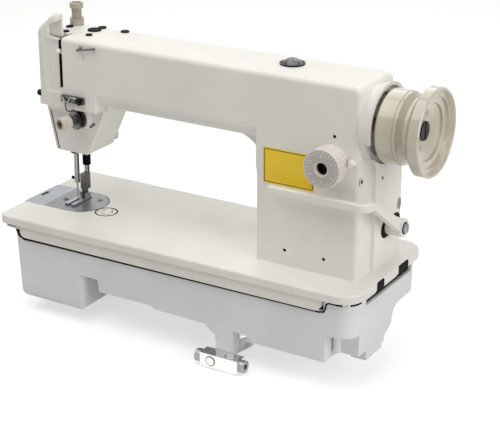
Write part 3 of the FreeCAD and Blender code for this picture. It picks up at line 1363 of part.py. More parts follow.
def make_dial():
    body = new_body("stitch_dial")
    pad(body, draw_circle(new_sketch(body, "XY"), 0, 0, size.dial_radius), size.dial_depth)
    groove = new_sketch(body, "XY", 3)
    draw_circle(groove, size.dial_radius + 0.4, 0, 1.1)
    first = pocket(body, groove, size.dial_depth, forward=True)
    pattern = body.newObject("PartDesign::PolarPattern", "dial_knurl")
    pattern.Originals = [first]
    pattern.Axis = (groove, ["N_Axis"])
    pattern.Angle = 360
    bind(pattern, "Occurrences", size.dial_grooves)
    body.Tip = pattern
    doc.recompute()
    face = new_sketch(body, "XY", size.dial_depth + 1)
    draw_circle(face, 0, 0, size.dial_hole + 1.2)
    pocket(body, face, 1.6)
    centre = new_sketch(body, "XY", size.dial_depth + 1)
    draw_circle(centre, 0, 0, size.dial_hole)
    pocket(body, centre, 9)
    stem = new_sketch(body, "XY", -size.casting_wall)
    draw_circle(stem, 0, 0, 4.95)
    pad(body, stem, size.casting_wall + 1)
    put(body, size.dial_x, size.arm_front - 0.4, size.dial_z, TO_OPERATOR)
    keep(body, "stitch_dial")
    pointer = doc.addObject("Part::Prism", "index_pointer")
    pointer.Polygon = 3
    bind(pointer, "Circumradius", 4.5)
    bind(pointer, "Height", 8)
    put(pointer, size.dial_x + 26.5, size.arm_front, size.dial_z + 5, TO_OPERATOR)
    keep(pointer, "dial_index_pin")


def make_reverse_lever():
    """A flat bar bent round the corner of the column: its plan, then cut to its slope from the side."""
    hub = rod("lever_hub", size.lever_hub, 19, size.column_step + 0.5, size.lever_y, size.lever_z, ALONG_X)
    stem = rod("lever_stem", 4.95, 20, size.column_step - 14, size.lever_y, size.lever_z, ALONG_X)
    bar = new_body("lever_bar")
    plan = new_sketch(bar, "XY", size.lever_z - 9)
    left = size.lever_right - size.lever_thick - 1
    draw_outline(plan, [
        (size.lever_tip, size.lever_front), (size.lever_right, size.lever_front),
        (size.lever_right, size.lever_y),
        (left, size.lever_y), (left, size.lever_front + size.lever_thick),
        (size.lever_tip, size.lever_front + size.lever_thick)])
    pad(bar, plan, size.lever_height - size.lever_z + 20)
    round_edges(bar, 14, lambda middle, way: along(way, "z") and middle.x > plain(size.lever_right) - 0.1
                and middle.y < plain(size.lever_front) + 0.1)
    round_edges(bar, 6, lambda middle, way: along(way, "z") and abs(middle.x - plain(left)) < 0.1
                and middle.y < plain(size.lever_front + size.lever_thick) + 0.1)
    half = 4.2
    bend = size.lever_front + size.lever_thick + 9
    low = size.lever_z - 10
    top = size.lever_height + 12
    for side, edge in ((-1, low), (1, top)):
        slope = new_sketch(bar, "YZ", size.lever_tip - 1)
        draw_outline(slope, [
            (size.lever_front - 1, edge), (size.lever_front - 1, size.lever_height + half * side),
            (bend, size.lever_height + half * side), (size.lever_y, size.lever_z + 8 * side),
            (size.lever_y + 1, size.lever_z + 8 * side), (size.lever_y + 1, edge)])
        pocket(bar, slope, size.lever_right - size.lever_tip + 2, forward=True)
    taper = new_sketch(bar, "XZ", size.lever_front - 1)
    draw_outline(taper, [
        (size.lever_tip - 1, size.lever_height - 5), (size.lever_right - 40, size.lever_height - 5),
        (size.lever_tip + 2, size.lever_height - 1.4), (size.lever_tip - 1, size.lever_height)])
    pocket(bar, taper, size.lever_thick + 2, forward=True)
    round_edges(bar, 1.5, lambda middle, way: along(way, "x") and middle.y < plain(bend)
                and middle.z > plain(size.lever_height) + half - 0.1)
    keep(fused("reverse_lever_whole", [hub, stem, bar]), "reverse_lever")
    keep(slotted_screw("lever_screw", 5.5, 3, size.column_step + 19.5, size.lever_y, size.lever_z, ALONG_X),
         "reverse_lever_screw")


make_bed()
make_arm()
make_face_plate()
make_takeup_guard()
make_arm_top_fittings()
make_plates()
make_pan()
make_knee_lifter()
make_handwheel()
make_gears()
make_feed_dog()
make_takeup()
make_presser()
make_tension()
make_dial()
make_reverse_lever()
keep(group("screw_group", make_rear_cover() + make_face_screws() + make_guides()), "cover_screws")
keep(group("bush_group", make_main_shaft() + make_lower_drive() + make_needle_bar()), "shaft_bushes")
doc.recompute()


def write_parts():
    failed = [item.Name for item in doc.Objects if "Invalid" in item.State or "Error" in item.State]
    if failed:
        raise RuntimeError(f"failed objects: {failed}")
    for label, thing in kept_parts.items():
        if thing.Shape.isNull() or not thing.Shape.isValid():
            raise RuntimeError(f"{label} has no valid shape")
    os.makedirs("parts", exist_ok=True)
    for label, thing in kept_parts.items():
        thing.Shape.exportStep(f"parts/{label}.step")
        print(label, len(thing.Shape.Solids), round(thing.Shape.Volume))


write_parts()
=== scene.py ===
"""Looks of the sewing machine head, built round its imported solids."""
import math
from collections import namedtuple

import bmesh
import bpy
from mathutils import Matrix, Vector


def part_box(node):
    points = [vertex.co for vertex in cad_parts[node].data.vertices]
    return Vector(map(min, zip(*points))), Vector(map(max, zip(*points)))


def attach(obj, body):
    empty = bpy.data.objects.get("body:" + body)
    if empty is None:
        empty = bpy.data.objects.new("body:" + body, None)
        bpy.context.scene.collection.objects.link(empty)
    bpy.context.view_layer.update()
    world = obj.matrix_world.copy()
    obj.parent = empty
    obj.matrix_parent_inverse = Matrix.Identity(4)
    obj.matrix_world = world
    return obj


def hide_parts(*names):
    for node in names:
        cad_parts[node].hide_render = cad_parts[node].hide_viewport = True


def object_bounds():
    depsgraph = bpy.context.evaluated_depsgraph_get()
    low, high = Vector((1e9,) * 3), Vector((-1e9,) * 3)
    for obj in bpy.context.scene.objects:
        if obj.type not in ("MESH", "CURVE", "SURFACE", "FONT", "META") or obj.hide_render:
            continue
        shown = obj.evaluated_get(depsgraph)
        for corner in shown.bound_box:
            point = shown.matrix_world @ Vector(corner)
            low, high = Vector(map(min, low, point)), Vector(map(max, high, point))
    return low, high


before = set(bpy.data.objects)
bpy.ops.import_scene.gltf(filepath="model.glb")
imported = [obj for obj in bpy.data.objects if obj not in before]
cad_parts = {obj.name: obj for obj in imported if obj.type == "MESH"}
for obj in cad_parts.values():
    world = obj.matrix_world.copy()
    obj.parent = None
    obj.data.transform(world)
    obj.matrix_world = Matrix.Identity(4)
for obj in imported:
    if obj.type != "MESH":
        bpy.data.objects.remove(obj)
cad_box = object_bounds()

MM = 0.001


def tone(red, green, blue):
    """A linear colour from the red, green and blue that a screen shows."""
    brightest = 255
    linear_limit, linear_slope = 0.04045, 12.92
    offset, gamma = 0.055, 2.4
    channels = []
    for value in (red, green, blue):
        share = value / brightest
        if share <= linear_limit:
            channels.append(share / linear_slope)
        else:
            channels.append(((share + offset) / (1 + offset)) ** gamma)
    return (*channels, 1.0)


# Materials

class Finish:
    """A surface whose colour, roughness and relief come from its own nodes."""

    def __init__(self, name, metallic=0.0, specular=0.5):
        self.material = bpy.data.materials.new(name)
        self.material.use_nodes = True
        self.tree = self.material.node_tree
        self.shader = self.tree.nodes["Principled BSDF"]
        self.shader.inputs["Metallic"].default_value = metallic
        self.shader.inputs["Specular IOR Level"].default_value = specular
        self.place = self.tree.nodes.new("ShaderNodeTexCoord").outputs["Object"]
        self.relief = None

    def link(self, start, end):
        self.tree.links.new(start, end)

    def noise(self, scale, detail=3.0, stretch=(1, 1, 1)):
        """Cloudy noise whose scale counts features in a metre, stretched along the axes."""
        mapping = self.tree.nodes.new("ShaderNodeMapping")
        mapping.inputs["Scale"].default_value = stretch
        cloud = self.tree.nodes.new("ShaderNodeTexNoise")
        cloud.inputs["Scale"].default_value = scale
        cloud.inputs["Detail"].default_value = detail
        self.link(self.place, mapping.inputs["Vector"])
        self.link(mapping.outputs["Vector"], cloud.inputs["Vector"])
        return cloud.outputs["Fac"]

    def facing(self, axis):
        """Nought to one as the surface turns from facing down an axis to facing up it; the mask with
        which reflections are painted.
        """
        coordinates = self.tree.nodes.new("ShaderNodeTexCoord")
        split = self.tree.nodes.new("ShaderNodeSeparateXYZ")
        spread = self.tree.nodes.new("ShaderNodeMapRange")
        spread.inputs["From Min"].default_value = -1.0
        self.link(coordinates.outputs["Normal"], split.inputs["Vector"])
        self.link(split.outputs[axis], spread.inputs["Value"])
        return spread.outputs["Result"]

    def colours(self, factor, low, high, start=0.35, end=0.65):
        """Colour that runs between two tones with a factor."""
        ramp = self.tree.nodes.new("ShaderNodeValToRGB")
        ramp.color_ramp.elements[0].color = low
        ramp.color_ramp.elements[0].position = start
        ramp.color_ramp.elements[1].color = high
        ramp.color_ramp.elements[1].position = end
        self.link(factor, ramp.inputs["Fac"])
        self.link(ramp.outputs["Color"], self.shader.inputs["Base Color"])
        return ramp

    def roughness(self, factor, low, high):
        spread = self.tree.nodes.new("ShaderNodeMapRange")
        spread.inputs["To Min"].default_value = low
        spread.inputs["To Max"].default_value = high
        self.link(factor, spread.inputs["Value"])
        self.link(spread.outputs["Result"], self.shader.inputs["Roughness"])

    def bump(self, factor, height, strength):
        """Relief of a height in metres, on top of the relief that is there already."""
        step = self.tree.nodes.new("ShaderNodeBump")
        step.inputs["Strength"].default_value = strength
        step.inputs["Distance"].default_value = height
        self.link(factor, step.inputs["Height"])
        if self.relief is not None:
            self.link(self.relief, step.inputs["Normal"])
        self.relief = step.outputs["Normal"]
        self.link(self.relief, self.shader.inputs["Normal"])

    def coat(self, weight, roughness):
        self.shader.inputs["Coat Weight"].default_value = weight
        self.shader.inputs["Coat Roughness"].default_value = roughness


def enamel(name, low, high):
    """Off-white machine enamel with an orange-peel skin."""
    finish = Finish(name, specular=0.3)
    peel = finish.noise(scale=420, detail=2.0)
    finish.colours(finish.noise(scale=14, detail=4.0), low, high)
    finish.roughness(finish.noise(scale=60), low=0.34, high=0.5)
    finish.bump(peel, height=0.00025, strength=0.35)
    finish.bump(finish.noise(scale=1500, detail=2.0), height=0.0001, strength=0.25)
    finish.coat(weight=0.04, roughness=0.25)
    return finish.material


def moulded(name, low, high, grain=1800, height=0.00012):
    """Moulded plastic with a fine spark-eroded grain."""
    finish = Finish(name, specular=0.4)
    finish.colours(finish.noise(scale=20, detail=5.0), low, high)
    finish.roughness(finish.noise(scale=160), low=0.46, high=0.62)
    finish.bump(finish.noise(scale=grain), height=height, strength=0.5)
    return finish.material


def lacquer(name, low, high, smooth=0.22, shine=0.3):
    """Lacquer over metal, with a little flow in its skin and a clear top."""
    finish = Finish(name)
    finish.colours(finish.noise(scale=25, detail=4.0), low, high)
    finish.roughness(finish.noise(scale=90), low=smooth, high=smooth + 0.12)
    finish.bump(finish.noise(scale=160, detail=2.0), height=0.00008, strength=0.12)
    finish.coat(weight=shine, roughness=0.06)
    return finish.material


def metal(name, low, high, smooth, rough, grain=(1, 14, 1), depth=0.00006):
    """Ground or turned metal, with a grain where the stretch of its noise is uneven."""
    finish = Finish(name, metallic=1.0)
    finish.colours(finish.noise(scale=70, detail=4.0, stretch=grain), low, high)
    finish.roughness(finish.noise(scale=220, detail=4.0, stretch=grain), low=smooth, high=rough)
    finish.bump(finish.noise(scale=500, stretch=grain), height=depth, strength=0.3)
    return finish.material


def polished(name, under, side, top):
    """Bright plating with painted reflection and shade, brightest on upright faces and darkest on those
    that look down.
    """
    finish = Finish(name, metallic=1.0)
    # Painted reflection and shade: the colour runs from dark on faces that look down to bright on upright
    # faces.
    ramp = finish.colours(finish.facing("Z"), under, side, start=0.0, end=0.5)
    ramp.color_ramp.elements.new(1.0).color = top
    finish.roughness(finish.noise(scale=220, detail=4.0), low=0.06, high=0.16)
    finish.bump(finish.noise(scale=300), height=0.00003, strength=0.2)
    return finish.material


def streaked(name, dark, light):
    """Turned bar steel with painted reflections: dark and light streaks that run along a round bar, set
    by which way each side of it faces.
    """
    along_bar = (1, 1, 14)
    finish = Finish(name, metallic=1.0)
    # Painted reflection: dark and light bands set by which way the bar's side faces along X.
    ramp = finish.colours(finish.facing("X"), dark, light, start=0.08, end=0.42)
    for position, colour in ((0.6, dark), (0.78, light), (0.97, dark)):
        ramp.color_ramp.elements.new(position).color = colour
    finish.roughness(finish.noise(scale=220, detail=4.0, stretch=along_bar), low=0.2, high=0.34)
    finish.bump(finish.noise(scale=500, stretch=along_bar), height=0.00005, strength=0.25)
    return finish.material


def rubber(name):
    """Dull black rubber with a fine grain."""
    finish = Finish(name, specular=0.06)
    finish.colours(finish.noise(scale=120, detail=4.0), tone(8, 8, 9), tone(17, 16, 16))
    finish.roughness(finish.noise(scale=300), low=0.5, high=0.7)
    finish.bump(finish.noise(scale=1600, detail=2.0), height=0.0001, strength=0.4)
    return finish.material


def clear(name):
    """A clear moulded window over the oil."""
    finish = Finish(name)
    finish.colours(finish.noise(scale=90, detail=2.0), tone(52, 54, 51), tone(168, 174, 166))
    finish.roughness(finish.noise(scale=200, detail=2.0), low=0.03, high=0.1)
    finish.bump(finish.noise(scale=250, detail=2.0), height=0.0004, strength=0.4)
    finish.shader.inputs["Transmission Weight"].default_value = 0.5
    finish.shader.inputs["IOR"].default_value = 1.46
    return finish.material


NO_GRAIN = (1, 1, 1)
WHITE = enamel("off_white_enamel", tone(236, 234, 226), tone(243, 241, 234))
PAN = moulded("pan_plastic", tone(232, 233, 234), tone(239, 240, 240))
BEIGE = lacquer("beige_lacquer", tone(192, 185, 163), tone(204, 197, 176), smooth=0.1, shine=0.8)
DIAL = moulded("dial_plastic", tone(226, 219, 214), tone(234, 228, 223), grain=1400)
# The dial's plastic made darker: painted shade on the face that looks forward.
DIAL_FACE_PAINTED_SHADE = moulded("dial_plastic_painted_shade", tone(186, 179, 174), tone(195, 188, 183), grain=1400)
WARM_GREY = lacquer("warm_grey_lacquer", tone(176, 168, 152), tone(190, 182, 166), smooth=0.3)
CREAM = lacquer("cream_lacquer", tone(214, 207, 191), tone(226, 219, 204))
STEEL = metal("ground_steel", tone(150, 154, 157), tone(174, 177, 180), smooth=0.26, rough=0.42)
PLATE_STEEL = metal("worn_plate_steel", tone(122, 123, 124), tone(150, 151, 151),
                    smooth=0.28, rough=0.45, grain=(14, 1, 1))
# Bar steel with painted reflection streaks.
BAR_STEEL_PAINTED_REFLECTION = streaked("bar_steel_painted_reflection", tone(74, 72, 67), tone(190, 190, 184))
# Chrome whose reflections are painted into its colour by the way each face turns.
CHROME_PAINTED_REFLECTION = polished("chrome_painted_reflection", tone(160, 161, 160), tone(238, 238, 236), tone(226, 227, 226))
# Polished steel given a dark tone as painted reflection, standing for the dark surroundings that bright
# steel mirrors.
STEEL_DARKENED_PAINTED_REFLECTION = metal("polished_steel_painted_dark_reflection", tone(84, 83, 82), tone(112, 110, 108),
                   smooth=0.16, rough=0.3, grain=NO_GRAIN)
BLACK = metal("blackened_steel", tone(26, 26, 28), tone(46, 46, 48), smooth=0.3, rough=0.45)
BRONZE = metal("sintered_bronze", tone(150, 116, 70), tone(176, 140, 90),
               smooth=0.35, rough=0.5, grain=NO_GRAIN, depth=0.0001)
RUBBER = rubber("black_rubber")
CLEAR = clear("clear_window")
YELLOW = lacquer("yellow_plate", tone(246, 205, 22), tone(252, 214, 36), smooth=0.36, shine=0.1)
PALE_PRINT = moulded("pale_print", tone(240, 237, 234), tone(248, 246, 243), grain=900, height=0.00005)
# Grey that stands for the shade inside a hole: painted shade.
PAINTED_HOLE_SHADE = moulded("painted_hole_shade_grey", tone(138, 135, 126), tone(150, 147, 138), grain=900)
BROWN = moulded("brown_core", tone(120, 98, 74), tone(142, 118, 92), grain=900)
INK = moulded("dark_print", tone(40, 38, 34), tone(58, 54, 48), grain=900, height=0.00005)

NODE_FINISH = {
    WHITE: ("arm_casting", "bed_casting", "face_plate", "takeup_guard", "arm_rear_cover",
            "reverse_lever", "bed_oil_cap", "dial_index_pin"),
    PAN: ("oil_pan",),
    BEIGE: ("handwheel",),
    DIAL: ("stitch_dial",),
    WARM_GREY: ("presser_regulator", "regulator_lock_nut"),
    CREAM: ("tension_nut",),
    STEEL_DARKENED_PAINTED_REFLECTION: ("tension_discs", "tension_spring", "upper_thread_guide", "lower_thread_guide",
                 "presser_foot_shank", "needle_plate_screws"),
    PLATE_STEEL: ("needle_plate",),
    BAR_STEEL_PAINTED_REFLECTION: ("needle_bar", "presser_bar", "needle"),
    STEEL: ("slide_plate", "knee_block_bolts", "reverse_lever_screw", "main_shaft", "upright_shaft",
            "hook_shaft", "rotary_hook", "bobbin_case", "bobbin", "feed_dog", "needle_bar_stud",
            "needle_bar_link", "needle_bar_crank", "main_bevel_gear", "upright_upper_gear",
            "upright_lower_gear", "hook_shaft_gear", "knee_push_rod", "presser_foot_sole",
            "takeup_pivot", "hand_lifter"),
    CHROME_PAINTED_REFLECTION: ("knee_block", "knee_shaft", "takeup_lever"),
    BLACK: ("cover_screws", "needle_clamp_screw", "presser_foot_screw", "check_spring",
            "handwheel_screw", "oil_sight_ring", "tension_post"),
    BRONZE: ("shaft_bushes",),
    RUBBER: ("corner_cushions", "arm_plugs", "presser_bar_bush"),
    CLEAR: ("oil_sight_window",),
}


def paint_nodes():
    for material, names in NODE_FINISH.items():
        for name in names:
            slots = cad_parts[name].data.materials
            slots.clear()
            slots.append(material)


# Camera, lights and floor, in metres

def show(thing):
    """Put an object into the scene."""
    bpy.context.scene.collection.objects.link(thing)


def make_camera():
    """The camera of the photo, solved from the size of the bed."""
    forward = Vector((-0.4782, 0.7968, -0.3694))
    camera = bpy.data.objects.new("photo_camera", bpy.data.cameras.new("photo_camera"))
    camera.data.sensor_width = 36
    camera.data.lens = 111.6
    camera.location = (0.8993, -1.4015, 0.6937)
    camera.rotation_euler = forward.to_track_quat("-Z", "Y").to_euler()
    show(camera)
    bpy.context.scene.camera = camera


def area_light(name, place, width, power):
    """A square softbox that is aimed at the machine."""
    target = Vector((0, 0, 0.05))
    light = bpy.data.objects.new(name, bpy.data.lights.new(name, "AREA"))
    light.data.shape = "SQUARE"
    light.data.size = width
    light.data.energy = power
    light.location = place
    light.rotation_euler = (target - Vector(place)).to_track_quat("-Z", "Y").to_euler()
    show(light)


def seen_directly(tree):
    """One for rays from the camera, from mirrors and through glass, which meet a plain white studio."""
    path = tree.nodes.new("ShaderNodeLightPath")
    seen = path.outputs["Is Camera Ray"]
    for ray in ("Is Glossy Ray", "Is Transmission Ray"):
        either = tree.nodes.new("ShaderNodeMath")
        either.operation = "MAXIMUM"
        tree.links.new(seen, either.inputs[0])
        tree.links.new(path.outputs[ray], either.inputs[1])
        seen = either.outputs["Value"]
    return seen


def choose_surface(tree, unseen, seen, output):
    """Show one shader to the rays that see the studio directly, and another to all other rays."""
    choose = tree.nodes.new("ShaderNodeMixShader")
    tree.links.new(seen_directly(tree), choose.inputs["Fac"])
    tree.links.new(unseen, choose.inputs[1])
    tree.links.new(seen, choose.inputs[2])
    tree.links.new(choose.outputs["Shader"], tree.nodes[output].inputs["Surface"])


def make_world():
    """A soft, slightly warm light from all round, and plain white where the studio is seen."""
    world = bpy.data.worlds.new("studio")
    world.use_nodes = True
    tree = world.node_tree
    soft = tree.nodes["Background"]
    soft.inputs["Color"].default_value = (1.0, 0.99, 0.97, 1.0)
    soft.inputs["Strength"].default_value = 0.24
    white = tree.nodes.new("ShaderNodeBackground")
    white.inputs["Color"].default_value = (1.0, 1.0, 1.0, 1.0)
    white.inputs["Strength"].default_value = 1.0
    choose_surface(tree, soft.outputs["Background"], white.outputs["Background"], "World Output")
    bpy.context.scene.world = world


def make_floor():
    """A pale floor just under the part, lifted to white by a glow that only direct rays see."""
    half, gap = 4.0, MM
    low = cad_box[0][2] - gap
    corners = [(-half, -half, low), (half, -half, low), (half, half, low), (-half, half, low)]
    mesh = bpy.data.meshes.new("floor")
    mesh.from_pydata(corners, [], [(0, 1, 2, 3)])
    floor = bpy.data.objects.new("floor", mesh)
    show(floor)
    material = bpy.data.materials.new("studio_floor")
    material.use_nodes = True
    tree = material.node_tree
    shader = tree.nodes["Principled BSDF"]
    shader.inputs["Base Color"].default_value = (0.72, 0.72, 0.71, 1.0)
    shader.inputs["Roughness"].default_value = 0.8
    shader.inputs["Specular IOR Level"].default_value = 0.0
    glow = tree.nodes.new("ShaderNodeEmission")
    glow.inputs["Strength"].default_value = 0.55
    lifted = tree.nodes.new("ShaderNodeAddShader")
    tree.links.new(shader.outputs["BSDF"], lifted.inputs[0])
    tree.links.new(glow.outputs["Emission"], lifted.inputs[1])
    choose_surface(tree, shader.outputs["BSDF"], lifted.outputs["Shader"], "Material Output")
    mesh.materials.append(material)


# Outlines, in millimetres

def polar(radius, angle):
    return (radius * math.cos(angle), radius * math.sin(angle))


def quarter_turn(steps):
    """Angles through a quarter turn."""
    return [math.pi / 2 * step / steps for step in range(steps + 1)]


def corner_points(centre_x, centre_y, radius, start, steps):
    """Points of a quarter circle about a centre, from a starting angle in degrees."""
    points = []
    for angle in quarter_turn(steps):
        x, y = polar(radius, math.radians(start) + angle)
        points.append((centre_x + x, centre_y + y))
    return points


def ring_points(radius, count, dip=0.0):
    """Points round a circle, every second one sunk by a dip."""
    return [polar(radius - dip * (step % 2), 2 * math.pi * step / count) for step in range(count)]


def rounded_box(width, height, radius, steps=5):
    """Points round a box with rounded corners, about its middle."""
    reach_x, reach_y = width / 2 - radius, height / 2 - radius
    points = []
    for across, up, start in ((1, 1, 0), (-1, 1, 90), (-1, -1, 180), (1, -1, 270)):
        points += corner_points(across * reach_x, up * reach_y, radius, start, steps)
    return points


def hexagon_points(radius, per_side):
    """Points along the sides of a hexagon."""
    corners = ring_points(radius, 6)
    points = []
    for (x, y), (next_x, next_y) in zip(corners, corners[1:] + corners[:1]):
        for step in range(per_side):
            share = step / per_side
            points.append((x + (next_x - x) * share, y + (next_y - y) * share))
    return points


def arc_strip(inner, outer, start, end, steps):
    """Outline of a curved strip between two radii and two angles in degrees."""
    angles = [math.radians(start + (end - start) * step / steps) for step in range(steps + 1)]
    return [polar(outer, angle) for angle in angles] + [polar(inner, angle) for angle in reversed(angles)]


def stroke(line):
    """Outline of a line that is given as points with a width each."""
    sides = ([], [])
    for place, (x, y, width) in enumerate(line):
        before = line[max(place - 1, 0)]
        after = line[min(place + 1, len(line) - 1)]
        way = Vector((after[0] - before[0], after[1] - before[1])).normalized()
        sides[0].append((x - way.y * width / 2, y + way.x * width / 2))
        sides[1].append((x + way.y * width / 2, y - way.x * width / 2))
    return sides[0] + sides[1][::-1]


# Solids and pieces, in millimetres

FRONT = Matrix(((1, 0, 0), (0, 0, -1), (0, 1, 0)))
LEVEL = Matrix.Identity(3)
RIGHT = Matrix(((0, 0, 1), (1, 0, 0), (0, 1, 0)))
LEFT = Matrix(((0, 0, -1), (-1, 0, 0), (0, 1, 0)))
ORIGIN = (0, 0, 0)
SHARP_TURN = math.radians(35)

Box = namedtuple("Box", "low high middle")


def node_box(node):
    """The low and high corners of a node's box and its middle, in millimetres."""
    low, high = (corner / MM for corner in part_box(node))
    return Box(low, high, (low + high) / 2)


def prism(points, low, high, edge=0.0):
    """A solid between two levels over an outline, its upper edge bevelled where an edge is given."""
    builder = bmesh.new()
    base = builder.faces.new([builder.verts.new((x, y, low)) for x, y in points])
    grown = bmesh.ops.extrude_face_region(builder, geom=[base])
    lifted = [item for item in grown["geom"] if isinstance(item, bmesh.types.BMVert)]
    bmesh.ops.translate(builder, verts=lifted, vec=(0, 0, high - low))
    bmesh.ops.recalc_face_normals(builder, faces=builder.faces)
    if edge:
        middle = (low + high) / 2
        rim = [line for line in builder.edges if all(point.co.z > middle for point in line.verts)]
        bmesh.ops.bevel(builder, geom=rim, offset=edge, segments=2, affect="EDGES")
    return builder


def skin(rounds, closed):
    """A solid through loops of as many points each, which close on the first loop or end in caps."""
    builder = bmesh.new()
    loops = [[builder.verts.new(point) for point in points] for points in rounds]
    following_loops = loops[1:] + loops[:1] if closed else loops[1:]
    for loop, following in zip(loops, following_loops):
        for step in range(len(loop)):
            ahead = (step + 1) % len(loop)
            builder.faces.new((loop[step], loop[ahead], following[ahead], following[step]))
    if not closed:
        builder.faces.new(loops[0])
        builder.faces.new(loops[-1])
    bmesh.ops.recalc_face_normals(builder, faces=builder.faces)
    return builder


def at_level(points, level):
    return [(x, y, level) for x, y in points]


def band(outer, inner, low, high):
    """A closed ring between two outlines with as many points each."""
    rounds = (at_level(outer, low), at_level(outer, high), at_level(inner, high), at_level(inner, low))
    return skin(rounds, closed=True)


def ring(outer, inner, low, high, count=48):
    """A closed round ring between two radii and two levels."""
    return band(ring_points(outer, count), ring_points(inner, count), low, high)


def lathe(profile, count=96):
    """A ring turned from a closed profile of levels and radii."""
    return skin([at_level(ring_points(radius, count), level) for level, radius in profile], closed=True)


def socket_screw(radius, depth):
    """A set screw with a hexagon socket, its outer face on level nought."""
    per_side = 4
    count = 6 * per_side
    chamfer = 0.15 * radius
    socket = hexagon_points(0.62 * radius, per_side)
    socket_depth = 0.7 * depth
    rounds = (at_level(ring_points(radius, count), -depth),
              at_level(ring_points(radius, count), -chamfer),
              at_level(ring_points(radius - chamfer, count), 0),
              at_level(socket, 0),
              at_level(socket, -socket_depth))
    return skin(rounds, closed=False)


def ribbon(path, low, high, thickness):
    """A standing strip along a level path, its outer side on the right of the path."""
    rounds = []
    for place, (x, y) in enumerate(path):
        before = Vector(path[max(place - 1, 0)])
        after = Vector(path[min(place + 1, len(path) - 1)])
        way = (after - before).normalized()
        out_x, out_y = x + way.y * thickness, y - way.x * thickness
        rounds.append(((x, y, low), (out_x, out_y, low), (out_x, out_y, high), (x, y, high)))
    return skin(rounds, closed=False)


def add_piece(name, builder, material, body, place, turn=LEVEL):
    """Set a piece drawn in millimetres at a place in millimetres, turned, and let it ride on a body."""
    mesh = bpy.data.meshes.new(name)
    builder.to_mesh(mesh)
    builder.free()
    mesh.transform(Matrix.Translation(Vector(place) * MM) @ turn.to_4x4() @ Matrix.Scale(MM, 4))
    mesh.shade_smooth()
    mesh.set_sharp_from_angle(angle=SHARP_TURN)
    mesh.materials.append(material)
    piece = bpy.data.objects.new(name, mesh)
    show(piece)
    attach(piece, body)
    return piece


# Faces and places of the castings, in millimetres

COLUMN_FRONT = -46
COLUMN_RIGHT = 218
STEP_RIGHT = 222
BED_RIGHT = 238
PAN_FRONT = -81
CHIN_LEVEL = 88
SIDE_OIL_HOLE = (COLUMN_RIGHT, -40, 127.3)


# Plate, caps and seals of the castings, with painted shade in some holes and in the guard's slot

def make_plate():
    """The blank yellow plate on the column, with a plain printed border."""
    middle = (133.7, COLUMN_FRONT, 127.9)
    width, height, thickness = 63, 41, 0.3
    plate = prism(rounded_box(width, height, radius=1.5), low=0, high=thickness, edge=0.1)
    add_piece("column_plate", plate, YELLOW, "machine", middle, FRONT)
    margin, line_width = 1.5, 0.9
    inset = margin + line_width
    outer = rounded_box(width - 2 * margin, height - 2 * margin, radius=1)
    inner = rounded_box(width - 2 * inset, height - 2 * inset, radius=0.6)
    border = band(outer, inner, low=thickness - 0.05, high=thickness + 0.04)
    add_piece("column_plate_border", border, INK, "machine", middle, FRONT)


def make_seam():
    """The black gasket that shows along the front edge of the face plate."""
    half_width, head_front = 0.7, -29.4
    line = ((-199.4, 155), (-199.4, 147.5), (-186.4, 88.5))
    outline = [(x - half_width, z) for x, z in line] + [(x + half_width, z) for x, z in reversed(line)]
    gasket = prism(outline, low=0, high=0.9, edge=0.2)
    add_piece("face_plate_gasket", gasket, RUBBER, "machine", (0, head_front, 0), FRONT)


def make_cap_seal():
    """The black ring of the bed cap, and the marks in its face."""
    cap = node_box("bed_oil_cap")
    sunk, ink, marks = 0.05, 0.12, 3
    mark_start, mark_end, arrow_turn = 10, 55, 80
    place = (cap.middle.x, cap.middle.y, cap.high.z - sunk)
    seal = ring(outer=13.9, inner=12.4, low=0, high=0.25, count=64)
    add_piece("bed_cap_seal", seal, RUBBER, "machine", place)
    for step in range(marks):
        turn = 360 / marks * step
        strip = arc_strip(inner=6.2, outer=7.6, start=turn + mark_start, end=turn + mark_end, steps=10)
        mark = prism(strip, low=0, high=ink)
        add_piece(f"bed_cap_mark_{step}", mark, RUBBER, "machine", place)
        arrow = prism([(8.6, -1.6), (10.6, 0), (8.6, 1.6)], low=0, high=ink)
        spin = Matrix.Rotation(math.radians(turn + arrow_turn), 3, "Z")
        add_piece(f"bed_cap_arrow_{step}", arrow, RUBBER, "machine", place, spin)


def make_plate_seam():
    """The dark joint round the round end of the needle plate, and the finger slot of the slide plate."""
    needle_plate = node_box("needle_plate")
    radius = (needle_plate.high.y - needle_plate.low.y) / 2
    half_arc, sunk = 68, 0.1
    strip = arc_strip(inner=radius - 0.3, outer=radius + 0.7, start=-half_arc, end=half_arc, steps=48)
    centre = (needle_plate.high.x - radius, needle_plate.middle.y, needle_plate.high.z - sunk)
    add_piece("needle_plate_seam", prism(strip, low=0, high=0.16), RUBBER, "machine", centre)
    slide_plate = node_box("slide_plate")
    slot = prism(rounded_box(width=3.6, height=13.6, radius=0.6), low=0, high=0.3)
    from_edge, depth = 6, 0.95
    place = (slide_plate.low.x + from_edge, slide_plate.middle.y, slide_plate.high.z - depth)
    add_piece("slide_plate_slot", slot, RUBBER, "slide_plate", place)


